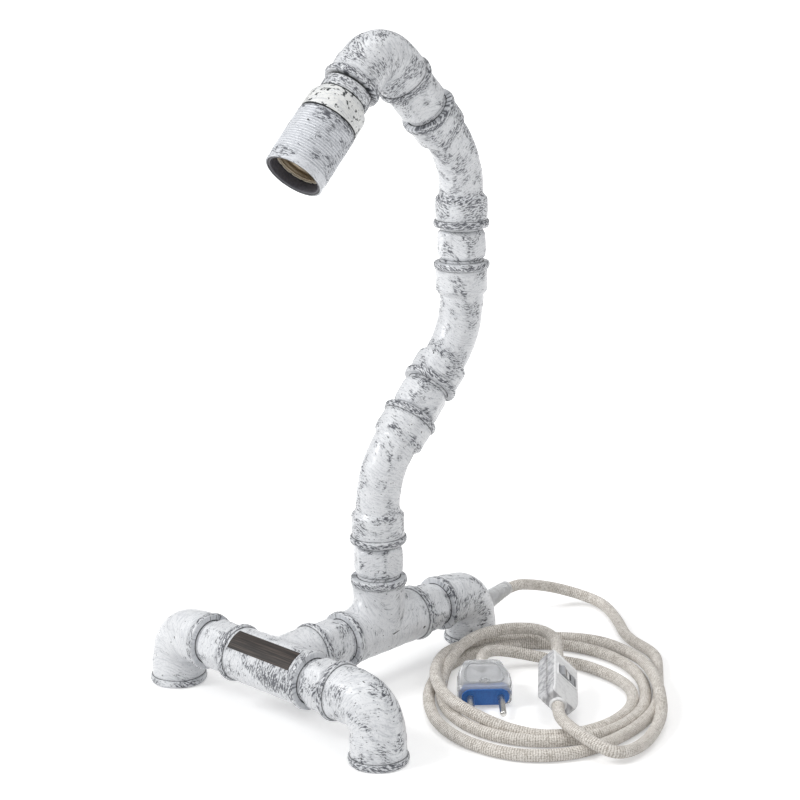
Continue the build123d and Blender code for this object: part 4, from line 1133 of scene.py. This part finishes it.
def rocker_plastic():
    """Smoky plastic with a pale bar of painted highlight between two dark slots of painted shade,
    by the distance across and along the switch from its middle."""
    shader = Shader("rocker_plastic", IOR=1.47, Transmission_Weight=0.15)
    haze = shader.noise(shader.place(), HAZE_SCALE)

    def far(way):
        sockets = {0: shader.place(), 1: tuple(float(v) for v in way)}
        along = shader.node("VectorMath", {"operation": "DOT_PRODUCT"}, sockets, "Value")
        return shader.math("ABSOLUTE", along - float(SWITCH_CENTRE @ way))

    within = 1.0 - shader.step(far(SWITCH_LOW), 3.2 * MM, 3.5 * MM)
    # Painted shade in the two dark slots and a painted highlight on the pale bar between them.
    slot_shade = within * (1.0 - shader.step(far(SWITCH_ACROSS), 2.7 * MM, 2.9 * MM))
    bar_highlight = within * (1.0 - shader.step(far(SWITCH_ACROSS), 1.1 * MM, 1.3 * MM))
    colour = shader.mix(slot_shade, (0.42, 0.43, 0.45), (0.07, 0.07, 0.08))
    colour = shader.mix(bar_highlight, colour, (0.92, 0.93, 0.94))
    return shader.finish(colour, 0.15 + 0.1 * haze, haze, 0.1, 0.2 * MM)


def metal(name, colour, roughness):
    shader = Shader(name, Metallic=1.0)
    scratch = shader.noise(shader.place(), GRAIN_SCALE, 3.0)
    mixed = shader.mix(scratch, tuple(0.72 * c for c in colour), colour)
    return shader.finish(mixed, roughness + 0.25 * scratch, scratch, 0.15, 0.1 * MM)


def moulded(name, colour, darker, roughness, grain=GRAIN_SCALE):
    shader = Shader(name)
    speckle = shader.noise(shader.place(), grain, 3.0)
    mixed = shader.mix(shader.step(speckle, 0.3, 0.7), darker, colour)
    return shader.finish(mixed, roughness + 0.15 * speckle, speckle, 0.2, 0.1 * MM)


def label_wood():
    """Dark strip with fine lines along it."""
    shader = Shader("label_strip_finish")
    lines = shader.noise(shader.place(), (45.0, 1500.0, 1500.0), 3.0, 0.6)
    colour = shader.mix(shader.step(lines, 0.35, 0.7), (0.016, 0.013, 0.012), (0.075, 0.058, 0.05))
    return shader.finish(colour, 0.5 + 0.2 * lines, lines, 0.3, 0.12 * MM)


PAINT = paint("brushed_paint", 0.0, 0.0)
CHIPPED_PAINT = paint("chipped_paint", -0.3, 0.118, (0.85, 0.855, 0.84))
# Its last argument puts the painted shade in the sleeve's grooves at full strength.
SLEEVE_PAINT = paint("sleeve_paint", 0.0, 0.0, (0.78, 0.80, 0.84), (0.3, 0.3, 1.1), 1.0)
BRAID = braid()
CLEAR = clear_plastic("clear_plastic", (0.98, 0.985, 0.99), 0.2, 0.12, (0.44, 0.44, 0.46))
FROSTED = clear_plastic("frosted_plastic", (0.84, 0.85, 0.865), 0.12, 0.7, (0.66, 0.67, 0.69))
SMOKY = rocker_plastic()
# Dark speckled finish of the well: painted shade in the window's recess.
WELL_SHADE = moulded("well_painted_shade", (0.10, 0.102, 0.108), (0.06, 0.062, 0.066), 0.4)
MILKY = clear_plastic("milky_plastic", (0.86, 0.87, 0.88), 0.30, 0.55, (0.80, 0.81, 0.82))
BRASS = metal("rolled_brass", (0.52, 0.44, 0.33), 0.38)
NICKEL = metal("nickel_plate", (0.78, 0.77, 0.74), 0.18)
STEEL = metal("zinc_steel", (0.60, 0.61, 0.62), 0.32)
LINER = moulded("dark_liner", (0.10, 0.098, 0.115), (0.07, 0.068, 0.08), 0.45)
CERAMIC = moulded("glazed_ceramic", (0.66, 0.60, 0.50), (0.58, 0.52, 0.42), 0.28, 350.0)
BLUE = moulded("blue_insert", (0.024, 0.145, 0.46), (0.018, 0.11, 0.39), 0.35)
LEAD_SHEATH = moulded("lead_sheath", (0.55, 0.55, 0.56), (0.45, 0.45, 0.46), 0.5)
LABEL = label_wood()

NODE_FINISHES = [
    (LABEL, ["label_strip"]),
    (STEEL, ["cord_grip_nut", "threaded_tube", "cap_lock_nut", "terminal_screws", "rocker_pin"]),
    (LEAD_SHEATH, ["base_lead", "neck_lead", "head_lead", "holder_wires"]),
    (CERAMIC, ["ceramic_insulator"]),
    (BRASS, ["centre_contact", "switch_terminals", "switch_contact"]),
    (SMOKY, ["switch_rocker"]),
    (NICKEL, ["switch_terminal_screws", "plug_pins", "plug_screw"]),
    (BLUE, ["plug_insert"]),
]


def finish_nodes():
    for material, names in NODE_FINISHES:
        for name in names:
            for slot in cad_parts[name].material_slots:
                slot.material = material


# ---- Studio

AMBIENT = 0.42
FLOOR_GLOW = 0.345
SEEING_RAYS = ("Camera", "Glossy", "Transmission")


def make_lamp(name, place, aim, size, power):
    data = bpy.data.lights.new(name, "AREA")
    data.shape = "RECTANGLE"
    data.size, data.size_y = size
    data.energy = power
    back = unit(np.array(place) - np.array(aim))
    side = unit(np.cross(UP, back))
    add_object(name, data, [side, np.cross(back, side), back], place)


def make_floor():
    """Wide floor that shows white away from the object: its own light rises, by a smooth
    step of the distance from the middle, for rays that see it."""
    floor = bpy.data.meshes.new("floor")
    reach, level = 30.0, -0.1 * MM
    corners = [(x * reach, y * reach, level) for x, y in ((-1, -1), (1, -1), (1, 1), (-1, 1))]
    floor.from_pydata(corners, [], [(0, 1, 2, 3)])
    add_object("floor", floor)
    shader = Shader("floor_paper", Base_Color=(0.86, 0.86, 0.86), Roughness=0.9)
    shader.set("Specular IOR Level", 0.1)
    rays = [shader.node("LightPath", {}, {}, f"Is {ray} Ray") for ray in SEEING_RAYS]
    seen = rays[0] + rays[1] + rays[2]
    distance = shader.node("VectorMath", {"operation": "LENGTH"}, {0: shader.place()}, "Value")
    shader.set("Emission Color", (1.0, 1.0, 1.0))
    shader.set("Emission Strength", seen * (FLOOR_GLOW + 0.7 * shader.step(distance, 0.2, 0.7)))
    floor.materials.append(shader.material)


def make_world():
    """Even light all round. The camera and rays through clear pieces see a brighter grey."""
    world = bpy.data.worlds.new("studio")
    bpy.context.scene.world = world
    shader = Shader(world, "World Output")
    rays = [shader.node("LightPath", {}, {}, f"Is {ray} Ray") for ray in ("Camera", "Transmission")]
    even = shader.node("Background", {}, {"Color": (1.0, 1.0, 1.0), "Strength": AMBIENT})
    seen = shader.node("Background", {}, {"Color": (0.8, 0.8, 0.8), "Strength": 1.0})
    mixed = {0: shader.math("MAXIMUM", *rays), 1: even, 2: seen}
    shader.set("Surface", shader.node("MixShader", {}, mixed))


def make_studio():
    make_floor()
    make_world()
    aim = (0.02, 0.02, 0.18)
    make_lamp("key_lamp", (-0.9, -1.5, 1.6), aim, (0.8, 0.8), 27.0)
    make_lamp("fill_lamp", (1.9, -0.5, 1.1), aim, (0.7, 1.2), 6.0)
    make_lamp("top_lamp", (0.1, 0.3, 2.2), aim, (1.2, 1.2), 13.0)
    bpy.context.scene.view_settings.view_transform = "Standard"


make_camera()
make_cords()
make_fittings()
make_holder_ring()
make_holder_cap()
make_holder_shell()
make_holder_rim()
make_screw_shell()
finish_nodes()
make_studio()
